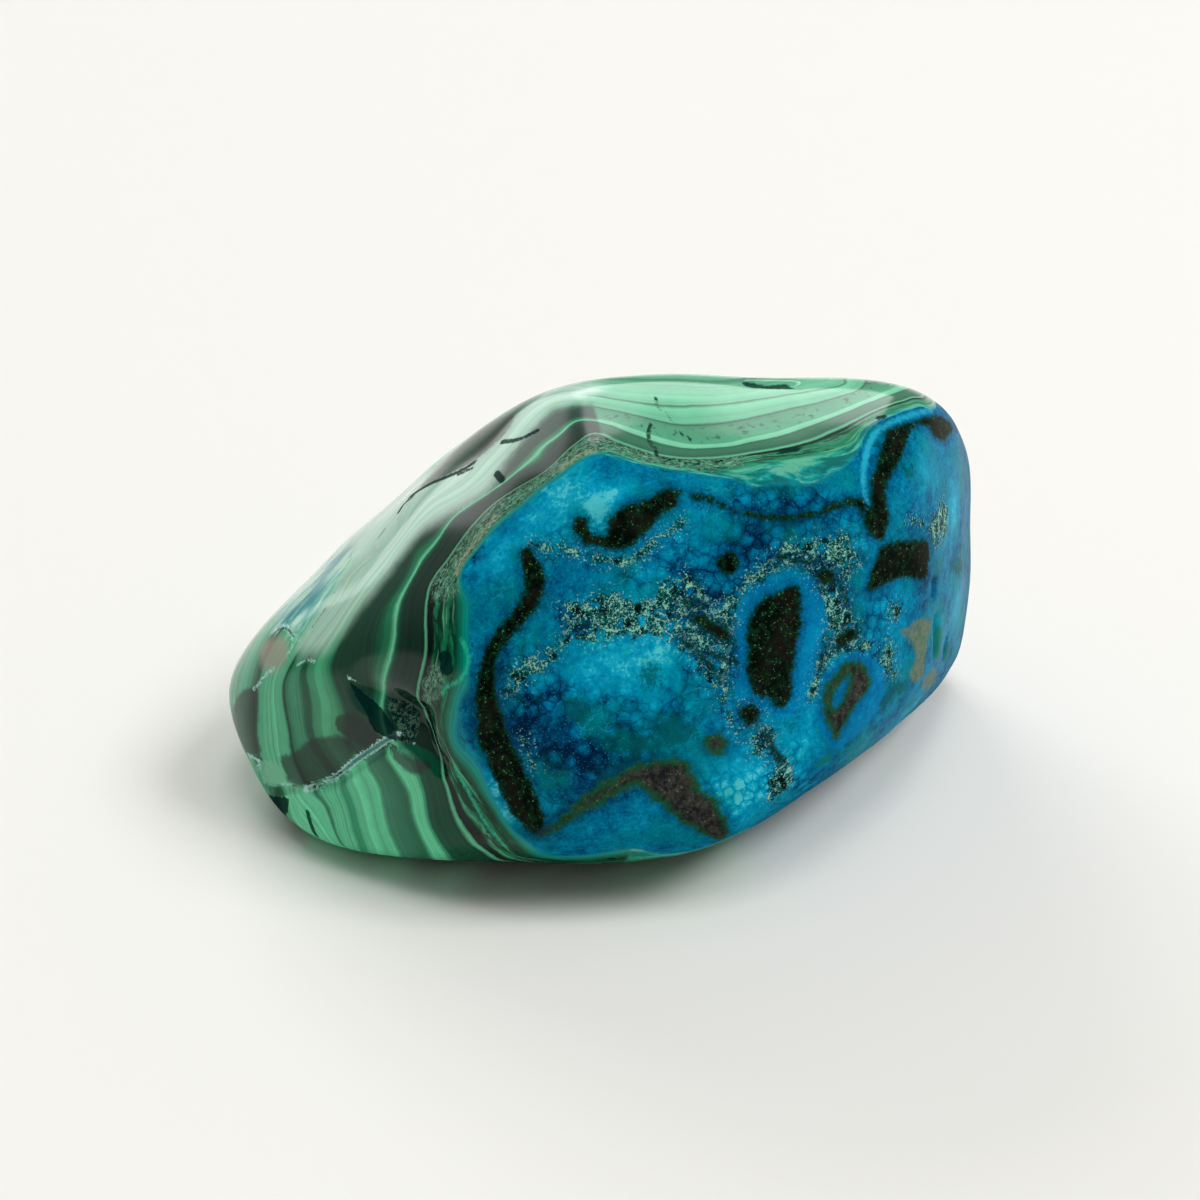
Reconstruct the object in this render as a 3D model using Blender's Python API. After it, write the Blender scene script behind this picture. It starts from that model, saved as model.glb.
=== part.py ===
"""Chrysocolla specimen: one hand-sized polished freeform, ground from a single piece of rough.

The stone is a closed solid. Its form comes from a ring of ground facets that were tumbled until
their edges ran together, a few shallow dents, and the natural pits, notch and cracks that the
polishing did not reach. It rests on a ground flat underneath.

Axes: +X runs along the stone to its right-hand end, -Y is the broad blue face, +Z is up.
Sizes are in metres. The origin is the middle of the bounding box at the resting flat.
"""
from dataclasses import dataclass
from math import cos, pi, radians, sin
from typing import List, Tuple

import bmesh
import bpy
import numpy as np

MM = 0.001

Point = Tuple[float, float, float]

# ---- driving dimensions ---------------------------------------------------------------------
GRID_CELLS = (28, 15, 16)             # cells along X, Y and Z before the fine areas
ROUNDING = 13.0                       # higher is crisper: how far the tumbling rounded the facets
CORE = (-5.1 * MM, 5.1 * MM, 25.5 * MM)          # the point the facets are measured from
SPREAD = (58 * MM, 30 * MM, 27 * MM)  # half sizes that even out the grid over the stone
REST_TRIM = 0.5 * MM                  # how much is ground off the underside to make the flat
WAVE_HEIGHT = 0.15 * MM               # hand-grinding leaves the polished skin slightly wavy
WAVE_LENGTH = (23 * MM, 19 * MM, 17 * MM)
FINE_REACH = (2.0 * MM, 0.7 * MM, 0.1 * MM)      # how far round a flaw each splitting reaches


@dataclass(frozen=True)
class Facet:
    """One ground facet: where it faces and how far it lies from the core."""

    name: str
    azimuth: float      # degrees; 0 faces -Y, 90 faces +X
    elevation: float    # degrees above level
    distance: float     # metres from the core


@dataclass(frozen=True)
class Flaw:
    """A natural hollow that runs along a line of points near the skin."""

    name: str
    path: Tuple[Point, ...]
    half_width: float
    depth: float


FACETS: Tuple[Facet, ...] = (
    Facet("broad front", -20, 20, 31.5 * MM),
    Facet("right front", 18, 6, 39.5 * MM),
    Facet("right end", 47, 3, 46.5 * MM),
    Facet("top", -3, 75, 34.5 * MM),
    Facet("top back slope", 157, 45, 24.0 * MM),
    Facet("back", 180, 0, 27.5 * MM),
    Facet("left shoulder", -91, 51, 29.0 * MM),
    Facet("left front", -61, 11, 36.0 * MM),
    Facet("left end", -104, -13, 51.5 * MM),
    Facet("front under-edge", -29, -45, 35.5 * MM),
    Facet("left under-edge", -100, -44, 52.0 * MM),
    Facet("right under-edge", 21, -43, 36.0 * MM),
    Facet("back under-edge", 180, -45, 33.0 * MM),
    Facet("right top corner", 63, 42, 53.0 * MM),
    Facet("back left slope", -138, 44, 28.0 * MM),
    Facet("left end upper", -110, 31, 45.5 * MM),
    Facet("right back", 121, 2, 48.5 * MM),
    Facet("left back", -150, 0, 45.0 * MM),
    Facet("resting flat", 0, -90, 25.5 * MM),
)


def mm(*values: float) -> Point:
    """Turn millimetres into metres.

    Args:
        values: coordinates in millimetres.

    Returns:
        The same coordinates in metres.
    """
    return tuple(value * MM for value in values)


FLAWS: Tuple[Flaw, ...] = (
    Flaw("notch bed", (mm(-40.0, -4.5, 27.6), mm(-38.0, -8.5, 27.2), mm(-36.9, -12.0, 25.5)),
         2.0 * MM, 1.3 * MM),
    Flaw("notch arm", (mm(-38.0, -8.5, 27.2), mm(-36.7, -12.0, 27.4)), 1.2 * MM, 0.8 * MM),
    Flaw("notch foot", (mm(-37.3, -11.5, 25.0), mm(-35.9, -15.3, 22.0)), 1.3 * MM, 0.8 * MM),
    Flaw("long crack", (mm(-47.2, 0.8, 11.9), mm(-45.1, -2.6, 14.1), mm(-42.0, -6.4, 19.0),
                        mm(-39.0, -10.1, 23.2)), 0.7 * MM, 0.8 * MM),
    Flaw("left tip vein", (mm(-50.9, 9.7, 11.5), mm(-51.0, 11.8, 8.1), mm(-50.5, 9.8, 6.9),
                           mm(-48.7, 3.4, 10.8)), 0.7 * MM, 0.6 * MM),
    Flaw("left tip chip", (mm(-50.0, 6.8, 7.4), mm(-49.4, 4.9, 7.1)), 1.6 * MM, 1.0 * MM),
    Flaw("top nick", (mm(11.5, -5.1, 58.2), mm(14.0, -5.8, 57.9), mm(16.5, -6.9, 57.7)),
         0.9 * MM, 0.7 * MM),
    Flaw("right end pit upper", (mm(29.7, -22.0, 33.6), mm(29.7, -22.1, 31.4)), 0.7 * MM, 0.6 * MM),
    Flaw("right end pit middle", (mm(30.8, -21.9, 27.4), mm(30.9, -21.9, 22.6)), 0.8 * MM, 0.7 * MM),
    Flaw("right end pit lower", (mm(35.5, -18.4, 21.0), mm(35.7, -18.2, 18.9)), 0.8 * MM, 0.6 * MM),
    Flaw("left outline dent", (mm(-36.5, 14.8, 34.8), mm(-35.5, 10.8, 35.8)), 5.0 * MM, 0.5 * MM),
    Flaw("back shoulder dent", (mm(-25.0, 20.3, 40.0), mm(-22.0, 17.3, 43.0)), 4.0 * MM, 0.4 * MM),
    Flaw("right end dent", (mm(44.4, -9.5, 29.1), mm(43.4, -10.5, 31.1)), 3.5 * MM, 0.35 * MM),
)


def facing(azimuth: float, elevation: float) -> np.ndarray:
    """Give the outward direction of a facet.

    Args:
        azimuth: degrees, 0 facing -Y and 90 facing +X.
        elevation: degrees above level.

    Returns:
        A unit vector.
    """
    turn = radians(azimuth)
    rise = radians(elevation)
    return np.array((sin(turn) * cos(rise), -cos(turn) * cos(rise), sin(rise)))


def ground_form(cube_points: np.ndarray) -> Tuple[np.ndarray, np.ndarray]:
    """Carry points of a two-unit cube out to the tumbled facets.

    Args:
        cube_points: an array of points on the faces of the cube.

    Returns:
        The points on the stone, and the outward direction of the skin at each.
    """
    rays = np.tan(cube_points * pi / 4)
    rays = rays / np.linalg.norm(rays, axis=1, keepdims=True)
    rays = rays * np.array(SPREAD)
    slopes = np.array([facing(facet.azimuth, facet.elevation) / facet.distance for facet in FACETS])
    reach = np.maximum(0.0, rays @ slopes.T)
    total = (reach ** ROUNDING).sum(axis=1)
    points = rays * (total ** (-1.0 / ROUNDING))[:, None]
    reach = np.maximum(0.0, points @ slopes.T)
    outward = (reach ** (ROUNDING - 1.0)) @ slopes
    outward = outward / np.linalg.norm(outward, axis=1, keepdims=True)
    return points + np.array(CORE), outward


def distance_to_path(points: np.ndarray, path: Tuple[Point, ...]) -> np.ndarray:
    """Measure how far each point lies from a line of points.

    Args:
        points: the points to measure.
        path: the corners of the line, in metres.

    Returns:
        One distance for each point, in metres.
    """
    best = np.full(len(points), 1.0)
    corners = [np.array(corner) for corner in path]
    for start, end in zip(corners[:-1], corners[1:]):
        along = end - start
        share = np.clip((points - start) @ along / (along @ along), 0.0, 1.0)
        gap = np.linalg.norm(points - start - share[:, None] * along, axis=1)
        best = np.minimum(best, gap)
    return best


def stone_skin(cube_points: np.ndarray) -> np.ndarray:
    """Shape points of the cube into the finished stone, flaws included.

    Args:
        cube_points: an array of points on the faces of the cube.

    Returns:
        The points on the finished skin, in metres.
    """
    points, outward = ground_form(cube_points)
    phase = points * (2 * pi / np.array(WAVE_LENGTH))
    wave = np.sin(phase[:, 0] + 1.0) * np.sin(phase[:, 1] + 2.0) + np.sin(phase[:, 2]) * np.sin(phase[:, 0])
    clear_of_flat = np.clip(points[:, 2] / (8 * MM), 0.0, 1.0)
    lift = WAVE_HEIGHT * wave * clear_of_flat
    for flaw in FLAWS:
        gap = distance_to_path(points, flaw.path)
        lift = lift - flaw.depth * np.exp(-((gap / flaw.half_width) ** 2))
    return points + outward * lift[:, None]


def near_a_flaw(points: np.ndarray, reach: float) -> np.ndarray:
    """Find the points that lie close to a narrow flaw.

    Args:
        points: points on the stone.
        reach: how far beyond the flaw's own half width still counts.

    Returns:
        A true or false for each point.
    """
    close = np.zeros(len(points), dtype=bool)
    for flaw in FLAWS:
        if flaw.half_width < 3 * MM:
            close |= distance_to_path(points, flaw.path) < flaw.half_width + reach
    return close


def rule_grid(stone: bpy.types.Object) -> None:
    """Divide the plain cube into its even starting cells.

    Args:
        stone: the cube being worked.
    """
    mesh = bmesh.new()
    mesh.from_mesh(stone.data)
    for axis, cells in enumerate(GRID_CELLS):
        along = [edge for edge in mesh.edges if abs(edge.verts[0].co[axis] - edge.verts[1].co[axis]) > 0.5]
        bmesh.ops.subdivide_edges(mesh, edges=along, cuts=cells - 1, use_grid_fill=True)
    mesh.to_mesh(stone.data)
    mesh.free()


def split_cells_near_flaws(stone: bpy.types.Object, reach: float) -> None:
    """Split the cube's cells once wherever a flaw needs a finer grid.

    Args:
        stone: the cube being worked.
        reach: how far round the flaws the grid is split, in metres.
    """
    centres = np.array([cell.center[:] for cell in stone.data.polygons])
    close = near_a_flaw(ground_form(centres)[0], reach)
    bpy.ops.object.mode_set(mode="EDIT")
    bpy.ops.mesh.select_mode(type="FACE")
    bpy.ops.mesh.select_all(action="DESELECT")
    bpy.ops.object.mode_set(mode="OBJECT")
    for cell, wanted in zip(stone.data.polygons, close):
        cell.select = bool(wanted)
    bpy.ops.object.mode_set(mode="EDIT")
    bpy.ops.mesh.subdivide(number_cuts=1, ngon=False)
    bpy.ops.object.mode_set(mode="OBJECT")


def grind_resting_flat(stone: bpy.types.Object, height: float) -> None:
    """Cut the underside off level and close it with one flat face.

    Args:
        stone: the shaped stone.
        height: the level of the cut, in metres.
    """
    mesh = bmesh.new()
    mesh.from_mesh(stone.data)
    everything: List = mesh.verts[:] + mesh.edges[:] + mesh.faces[:]
    cut = bmesh.ops.bisect_plane(
        mesh,
        geom=everything,
        dist=0.02 * MM,
        plane_co=(0.0, 0.0, height),
        plane_no=(0.0, 0.0, 1.0),
        clear_inner=True,
    )
    for item in cut["geom_cut"]:
        if isinstance(item, bmesh.types.BMVert):
            item.co.z = height
    rim = [item for item in cut["geom_cut"] if isinstance(item, bmesh.types.BMEdge)]
    bmesh.ops.contextual_create(mesh, geom=rim)
    bmesh.ops.remove_doubles(mesh, verts=mesh.verts[:], dist=0.05 * MM)
    bmesh.ops.recalc_face_normals(mesh, faces=mesh.faces[:])
    mesh.to_mesh(stone.data)
    mesh.free()


def polished_stone_material() -> bpy.types.Material:
    """Make the plain stone material of the solid.

    Returns:
        A blue-green polished stone.
    """
    material = bpy.data.materials.new("polished_chrysocolla")
    material.use_nodes = True
    surface = material.node_tree.nodes["Principled BSDF"]
    surface.inputs["Base Color"].default_value = (0.01, 0.22, 0.34, 1.0)
    surface.inputs["Roughness"].default_value = 0.15
    surface.inputs["Metallic"].default_value = 0.0
    material.diffuse_color = (0.01, 0.22, 0.34, 1.0)
    return material


def build_stone() -> bpy.types.Object:
    """Build the whole specimen.

    Returns:
        The finished stone, its resting flat on the ground and its box centred on the origin.
    """
    bpy.ops.mesh.primitive_cube_add(size=2.0)
    stone = bpy.context.active_object
    stone.name = "chrysocolla_stone"
    stone.data.name = "chrysocolla_stone"
    rule_grid(stone)
    for reach in FINE_REACH:
        split_cells_near_flaws(stone, reach)
    cube_points = np.array([vertex.co[:] for vertex in stone.data.vertices])
    shaped = stone_skin(cube_points)
    for vertex, place in zip(stone.data.vertices, shaped):
        vertex.co = place
    grind_resting_flat(stone, REST_TRIM)
    corners = np.array([vertex.co[:] for vertex in stone.data.vertices])
    low = corners.min(axis=0)
    high = corners.max(axis=0)
    shift = np.array(((low[0] + high[0]) / 2, (low[1] + high[1]) / 2, low[2]))
    for vertex, place in zip(stone.data.vertices, corners - shift):
        vertex.co = place
    stone.data.materials.clear()
    stone.data.materials.append(polished_stone_material())
    bpy.ops.object.select_all(action="DESELECT")
    stone.select_set(True)
    bpy.context.view_layer.objects.active = stone
    bpy.ops.object.shade_smooth_by_angle(angle=radians(35))
    return stone


for old in list(bpy.data.objects):
    bpy.data.objects.remove(old)
build_stone()
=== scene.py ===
"""Looks for a polished freeform of blue chrysocolla with banded green malachite.

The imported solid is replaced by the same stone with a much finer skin. Its markings are drawn on
the skin as smooth fields: how far each point lies outside or inside every band, patch, lace and
crack. One material turns those fields into stone, and adds the fine grain from noise.

Outlines of the markings are written as seen from the front, in the 1200 by 1200 sight frame of
the camera, and are carried along the lines of sight onto the stone. Sizes are in metres; the
fields on the skin and the places that the noise is read at are in millimetres.
"""

import logging
from dataclasses import dataclass
from enum import Enum
from math import cos, pi, radians, sin
from typing import Dict, List, Sequence, Tuple, Union

import bpy
import numpy as np
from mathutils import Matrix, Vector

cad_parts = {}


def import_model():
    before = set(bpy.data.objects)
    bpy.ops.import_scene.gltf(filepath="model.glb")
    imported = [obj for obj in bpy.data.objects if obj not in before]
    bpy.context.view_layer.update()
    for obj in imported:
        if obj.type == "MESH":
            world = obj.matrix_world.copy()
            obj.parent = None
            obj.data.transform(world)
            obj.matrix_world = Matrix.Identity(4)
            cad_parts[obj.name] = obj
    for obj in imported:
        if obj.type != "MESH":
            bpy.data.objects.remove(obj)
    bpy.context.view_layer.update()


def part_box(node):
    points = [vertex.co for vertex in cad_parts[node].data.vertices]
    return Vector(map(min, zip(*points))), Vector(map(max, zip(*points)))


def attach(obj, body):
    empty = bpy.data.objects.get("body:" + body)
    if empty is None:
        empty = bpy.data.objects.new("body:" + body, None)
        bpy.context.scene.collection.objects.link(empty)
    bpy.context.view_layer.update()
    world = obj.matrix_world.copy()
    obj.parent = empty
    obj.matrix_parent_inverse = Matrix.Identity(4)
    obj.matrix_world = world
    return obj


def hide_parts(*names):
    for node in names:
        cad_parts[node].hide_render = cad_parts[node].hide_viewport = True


LOG = logging.getLogger("chrysocolla")
MM = 0.001
FAR = 1.0                # metres, well past every part of the stone
SIGHT_FRAME = 1200.0     # the width and height of the frame that the outlines are written in
BODY = "root"
CAD_NODE = "chrysocolla_stone"

Point = Tuple[float, float, float]
Sight = Tuple[float, float]
Colour = Tuple[float, float, float, float]
Levels = Sequence[Tuple[float, Tuple[int, int, int]]]  # growth levels with screen colours


def mm(*values: float) -> Point:
    """Turn millimetres into metres."""
    return tuple(value * MM for value in values)


def paint(red: int, green: int, blue: int) -> Colour:
    """Turn a colour as seen on a screen into light values.

    Args:
        red: 0 to 255.
        green: 0 to 255.
        blue: 0 to 255.

    Returns:
        The linear colour with full opacity.
    """
    parts = []
    for part in (red, green, blue):
        share = part / 255.0
        parts.append(share / 12.92 if share <= 0.04045 else ((share + 0.055) / 1.055) ** 2.4)
    return (parts[0], parts[1], parts[2], 1.0)


def facing(azimuth: float, elevation: float) -> np.ndarray:
    """Give a direction from its bearing and its rise.

    Args:
        azimuth: degrees, 0 facing -Y and 90 facing +X.
        elevation: degrees above level.

    Returns:
        A unit vector.
    """
    turn = radians(azimuth)
    rise = radians(elevation)
    return np.array((sin(turn) * cos(rise), -cos(turn) * cos(rise), sin(rise)))


# ---- the form of the stone ------------------------------------------------------------------


@dataclass(frozen=True)
class Facet:
    """One ground facet: where it faces and how far it lies from the core."""

    name: str
    azimuth: float
    elevation: float
    distance: float


@dataclass(frozen=True)
class Flaw:
    """A natural hollow that runs along a line of points near the skin."""

    name: str
    path: Tuple[Point, ...]
    half_width: float
    depth: float


FACETS: Tuple[Facet, ...] = (
    Facet("broad front", -20, 20, 31.5 * MM),
    Facet("right front", 18, 6, 39.5 * MM),
    Facet("right end", 47, 3, 46.5 * MM),
    Facet("top", -3, 75, 34.5 * MM),
    Facet("top back slope", 157, 45, 24.0 * MM),
    Facet("back", 180, 0, 27.5 * MM),
    Facet("left shoulder", -91, 51, 29.0 * MM),
    Facet("left front", -61, 11, 36.0 * MM),
    Facet("left end", -104, -13, 51.5 * MM),
    Facet("front under-edge", -29, -45, 35.5 * MM),
    Facet("left under-edge", -100, -44, 52.0 * MM),
    Facet("right under-edge", 21, -43, 36.0 * MM),
    Facet("back under-edge", 180, -45, 33.0 * MM),
    Facet("right top corner", 63, 42, 53.0 * MM),
    Facet("back left slope", -138, 44, 28.0 * MM),
    Facet("left end upper", -110, 31, 45.5 * MM),
    Facet("right back", 121, 2, 48.5 * MM),
    Facet("left back", -150, 0, 45.0 * MM),
    Facet("resting flat", 0, -90, 25.5 * MM),
)

FLAWS: Tuple[Flaw, ...] = (
    Flaw("notch bed", (mm(-40.0, -4.5, 27.6), mm(-38.0, -8.5, 27.2), mm(-36.9, -12.0, 25.5)),
         2.0 * MM, 1.3 * MM),
    Flaw("notch arm", (mm(-38.0, -8.5, 27.2), mm(-36.7, -12.0, 27.4)), 1.2 * MM, 0.8 * MM),
    Flaw("notch foot", (mm(-37.3, -11.5, 25.0), mm(-35.9, -15.3, 22.0)), 1.3 * MM, 0.8 * MM),
    Flaw("long crack", (mm(-47.2, 0.8, 11.9), mm(-45.1, -2.6, 14.1), mm(-42.0, -6.4, 19.0),
                        mm(-39.0, -10.1, 23.2)), 0.7 * MM, 0.8 * MM),
    Flaw("left tip vein", (mm(-50.9, 9.7, 11.5), mm(-51.0, 11.8, 8.1), mm(-50.5, 9.8, 6.9),
                           mm(-48.7, 3.4, 10.8)), 0.7 * MM, 0.6 * MM),
    Flaw("left tip chip", (mm(-50.0, 6.8, 7.4), mm(-49.4, 4.9, 7.1)), 1.6 * MM, 1.0 * MM),
    Flaw("top nick", (mm(11.5, -5.1, 58.2), mm(14.0, -5.8, 57.9), mm(16.5, -6.9, 57.7)),
         0.9 * MM, 0.7 * MM),
    Flaw("right end pit upper", (mm(29.7, -22.0, 33.6), mm(29.7, -22.1, 31.4)), 0.7 * MM, 0.6 * MM),
    Flaw("right end pit middle", (mm(30.8, -21.9, 27.4), mm(30.9, -21.9, 22.6)), 0.8 * MM, 0.7 * MM),
    Flaw("right end pit lower", (mm(35.5, -18.4, 21.0), mm(35.7, -18.2, 18.9)), 0.8 * MM, 0.6 * MM),
    Flaw("left outline dent", (mm(-36.5, 14.8, 34.8), mm(-35.5, 10.8, 35.8)), 5.0 * MM, 0.5 * MM),
    Flaw("back shoulder dent", (mm(-25.0, 20.3, 40.0), mm(-22.0, 17.3, 43.0)), 4.0 * MM, 0.4 * MM),
    Flaw("right end dent", (mm(44.4, -9.5, 29.1), mm(43.4, -10.5, 31.1)), 3.5 * MM, 0.35 * MM),
)


def rows(group: bpy.types.bpy_prop_collection, name: str) -> np.ndarray:
    """Read a vector from every part of a mesh.

    Args:
        group: the mesh's points, normals or faces.
        name: which vector is read.

    Returns:
        One row for each part.
    """
    flat = np.zeros(len(group) * 3)
    group.foreach_get(name, flat)
    return flat.reshape(-1, 3)


def distance_to_path(points: np.ndarray, path: np.ndarray) -> np.ndarray:
    """Measure how far each point lies from a line of points.

    Args:
        points: the points to measure, in metres.
        path: the corners of the line, in metres; a corner that isn't a number breaks the line.

    Returns:
        One distance for each point, in metres.
    """
    best = np.full(len(points), FAR)
    for start, end in zip(path[:-1], path[1:]):
        along = end - start
        if not np.isfinite(along).all():
            continue
        share = np.clip((points - start) @ along / max(float(along @ along), 1e-12), 0.0, 1.0)
        offset = points - start - share[:, None] * along
        best = np.minimum(best, np.sqrt((offset * offset).sum(axis=1)))
    return best


@dataclass(frozen=True)
class StoneForm:
    """The tumbled form: ground facets that run together, with natural flaws cut in."""

    core: Point = mm(-5.1, 5.1, 25.5)
    spread: Point = mm(58, 30, 27)
    rounding: float = 13.0
    rest_trim: float = 0.5 * MM
    wave_height: float = 0.15 * MM
    wave_length: Point = mm(23, 19, 17)
    wave_start: float = 8 * MM
    search: Tuple[float, float] = (0.15, 0.40)
    search_steps: int = 501
    search_halvings: int = 24

    def slopes(self) -> np.ndarray:
        """Give each facet's direction divided by its distance, one row for each facet."""
        return np.array([facing(item.azimuth, item.elevation) / item.distance for item in FACETS])

    def depth(self, offsets: np.ndarray) -> np.ndarray:
        """Measure how far out from the core places lie, as a value that is 1 on the tumbled skin."""
        return (np.maximum(0.0, offsets @ self.slopes().T) ** self.rounding).sum(axis=-1)

    def ground(self, cube_points: np.ndarray) -> Tuple[np.ndarray, np.ndarray]:
        """Carry points of a two-unit cube out to the tumbled facets.

        Args:
            cube_points: points on the faces of the cube.

        Returns:
            The points on the stone and the outward direction at each.
        """
        rays = np.tan(cube_points * pi / 4)
        rays = rays / np.linalg.norm(rays, axis=1, keepdims=True) * np.array(self.spread)
        points = rays * (self.depth(rays) ** (-1.0 / self.rounding))[:, None]
        return points + np.array(self.core), self.outward(points)

    def outward(self, offsets: np.ndarray) -> np.ndarray:
        """Find the outward direction of the skin.

        Args:
            offsets: points on the skin, measured from the core.

        Returns:
            A unit vector for each point.
        """
        reach = np.maximum(0.0, offsets @ self.slopes().T)
        outward = (reach ** (self.rounding - 1.0)) @ self.slopes()
        return outward / np.linalg.norm(outward, axis=1, keepdims=True)

    def skin(self, cube_points: np.ndarray) -> np.ndarray:
        """Shape points of the cube into the finished stone, flaws included.

        Args:
            cube_points: points on the faces of the cube.

        Returns:
            The points on the finished skin, in metres.
        """
        points, outward = self.ground(cube_points)
        phase = points * (2 * pi / np.array(self.wave_length))
        wave = np.sin(phase[:, 0] + 1.0) * np.sin(phase[:, 1] + 2.0)
        wave = wave + np.sin(phase[:, 2]) * np.sin(phase[:, 0])
        lift = self.wave_height * wave * np.clip(points[:, 2] / self.wave_start, 0.0, 1.0)
        for flaw in FLAWS:
            gap = distance_to_path(points, np.array(flaw.path))
            lift = lift - flaw.depth * np.exp(-((gap / flaw.half_width) ** 2))
        points = points + outward * lift[:, None]
        points[:, 2] = np.maximum(points[:, 2], self.rest_trim) - self.rest_trim
        return points

    def meet(self, eye: np.ndarray, directions: np.ndarray) -> Tuple[np.ndarray, np.ndarray]:
        """Find where lines of sight meet the stone.

        Args:
            eye: where the lines start, in metres.
            directions: a unit vector for each line.

        Returns:
            The nearest meeting points, where a line that misses gives its closest pass, and a
            true or false for whether each line meets the stone.
        """
        start = eye - np.array(self.core) + np.array((0.0, 0.0, self.rest_trim))
        steps = np.linspace(*self.search, self.search_steps)
        places = start + directions[:, None, :] * steps[None, :, None]
        depth = self.depth(places)
        inside = depth < 1.0
        first = np.where(inside.any(axis=1), inside.argmax(axis=1), depth.argmin(axis=1))
        far = steps[first]
        near = steps[np.maximum(first - 1, 0)]
        for _ in range(self.search_halvings):
            middle = (near + far) / 2
            within = self.depth(start + directions * middle[:, None]) < 1.0
            far = np.where(within, middle, far)
            near = np.where(within, near, middle)
        return eye + directions * far[:, None], inside.any(axis=1)


@dataclass(frozen=True)
class SightCamera:
    """The camera, and the lines of sight that the markings are drawn along."""

    aim: Point = mm(-2.45, 8.55, 23.0)
    azimuth: float = -27.0
    elevation: float = 30.0
    distance: float = 270 * MM
    lens: float = 60.0
    sensor: float = 36.0
    seen_range: Tuple[float, float] = (0.01, 10.0)

    @property
    def eye(self) -> np.ndarray:
        """Where the camera stands, in metres."""
        return np.array(self.aim) + facing(self.azimuth, self.elevation) * self.distance

    @property
    def focal(self) -> float:
        """The focal length in units of the sight frame."""
        return SIGHT_FRAME * self.lens / self.sensor

    def axes(self) -> Tuple[np.ndarray, np.ndarray, np.ndarray]:
        """Give the camera's own directions.

        Returns:
            Right, up and forward.
        """
        forward = -facing(self.azimuth, self.elevation)
        right = np.array((cos(radians(self.azimuth)), sin(radians(self.azimuth)), 0.0))
        return right, np.cross(right, forward), forward

    def rays(self, sights: np.ndarray) -> np.ndarray:
        """Turn places in the sight frame into directions.

        Args:
            sights: places in the 1200 by 1200 frame, one to a row.

        Returns:
            A unit vector for each.
        """
        right, up, forward = self.axes()
        across = (sights[:, 0] - SIGHT_FRAME / 2) / self.focal
        rise = (SIGHT_FRAME / 2 - sights[:, 1]) / self.focal
        lines = forward + across[:, None] * right + rise[:, None] * up
        return lines / np.linalg.norm(lines, axis=1, keepdims=True)

    def sights(self, points: np.ndarray) -> np.ndarray:
        """Find where points of the stone are seen.

        Args:
            points: points in metres.

        Returns:
            Their places in the 1200 by 1200 frame.
        """
        right, up, forward = self.axes()
        offset = points - self.eye
        away = offset @ forward
        across = SIGHT_FRAME / 2 + self.focal * (offset @ right) / away
        down = SIGHT_FRAME / 2 - self.focal * (offset @ up) / away
        return np.stack((across, down), axis=1)

    def turned(self, points: np.ndarray, outward: np.ndarray) -> np.ndarray:
        """Measure how squarely the skin faces the camera.

        Args:
            points: points on the skin, in metres.
            outward: the outward direction at each.

        Returns:
            One value for each point, from -1 facing away to 1 facing the camera.
        """
        toward = self.eye - points
        toward = toward / np.linalg.norm(toward, axis=1, keepdims=True)
        return (toward * outward).sum(axis=1)

    def place(self) -> bpy.types.Object:
        """Put the camera in the scene.

        Returns:
            The camera.
        """
        bpy.ops.object.camera_add(location=tuple(self.eye))
        camera = bpy.context.active_object
        camera.name = "camera"
        camera.rotation_euler = (radians(90 - self.elevation), 0.0, radians(self.azimuth))
        camera.data.lens = self.lens
        camera.data.sensor_width = self.sensor
        camera.data.clip_start, camera.data.clip_end = self.seen_range
        bpy.context.scene.camera = camera
        return camera


# ---- the markings, drawn in the sight frame -------------------------------------------------


class Mark(Enum):
    """The kinds of marking, each kept as one field on the skin."""

    DARK = "dark"
    BROWN = "brown"
    HALO = "halo"
    DRUSE = "druse"
    LACE = "lace"
    CYAN = "cyan"
    SMUDGE = "smudge"
    OLIVE = "olive"
    CRACK = "crack"
    WHITE = "white"
    CREAM = "cream"
    RIM = "rim"
    SHEEN = "sheen"
    FILL = "fill"
    SHADE = "shade"
    PALE = "pale"
    FROST = "frost"
    FOOT = "foot"
    RUBBLE = "rubble"
    GRAIN = "grain"
    CALM = "calm"
    PINK_GREY_OVAL = "pink_grey_oval"
    TURQUOISE = "turquoise"


@dataclass(frozen=True)
class Patch:
    """A closed marking."""

    name: str
    mark: Mark
    outline: Tuple[Sight, ...]
    inner: Tuple[Sight, ...] = ()


@dataclass(frozen=True)
class Streak:
    """A marking along a line."""

    name: str
    mark: Mark
    path: Tuple[Sight, ...]
    half_width: float


@dataclass(frozen=True)
class Spot:
    """A round marking."""

    name: str
    mark: Mark
    centre: Sight
    radius: float


@dataclass(frozen=True)
class Band:
    """A growth line of the malachite, at its own level outward from the blue."""

    name: str
    level: float
    path: Tuple[Sight, ...]


@dataclass(frozen=True)
class Anchor:
    """The growth level at a place that the front doesn't show."""

    level: float
    place: Point


@dataclass(frozen=True)
class Glow:
    """A soft lighter or deeper pool of blue; a few lighter ones are painted highlights and painted
    reflection.
    """

    centre: Sight
    radius: float
    strength: float


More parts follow.
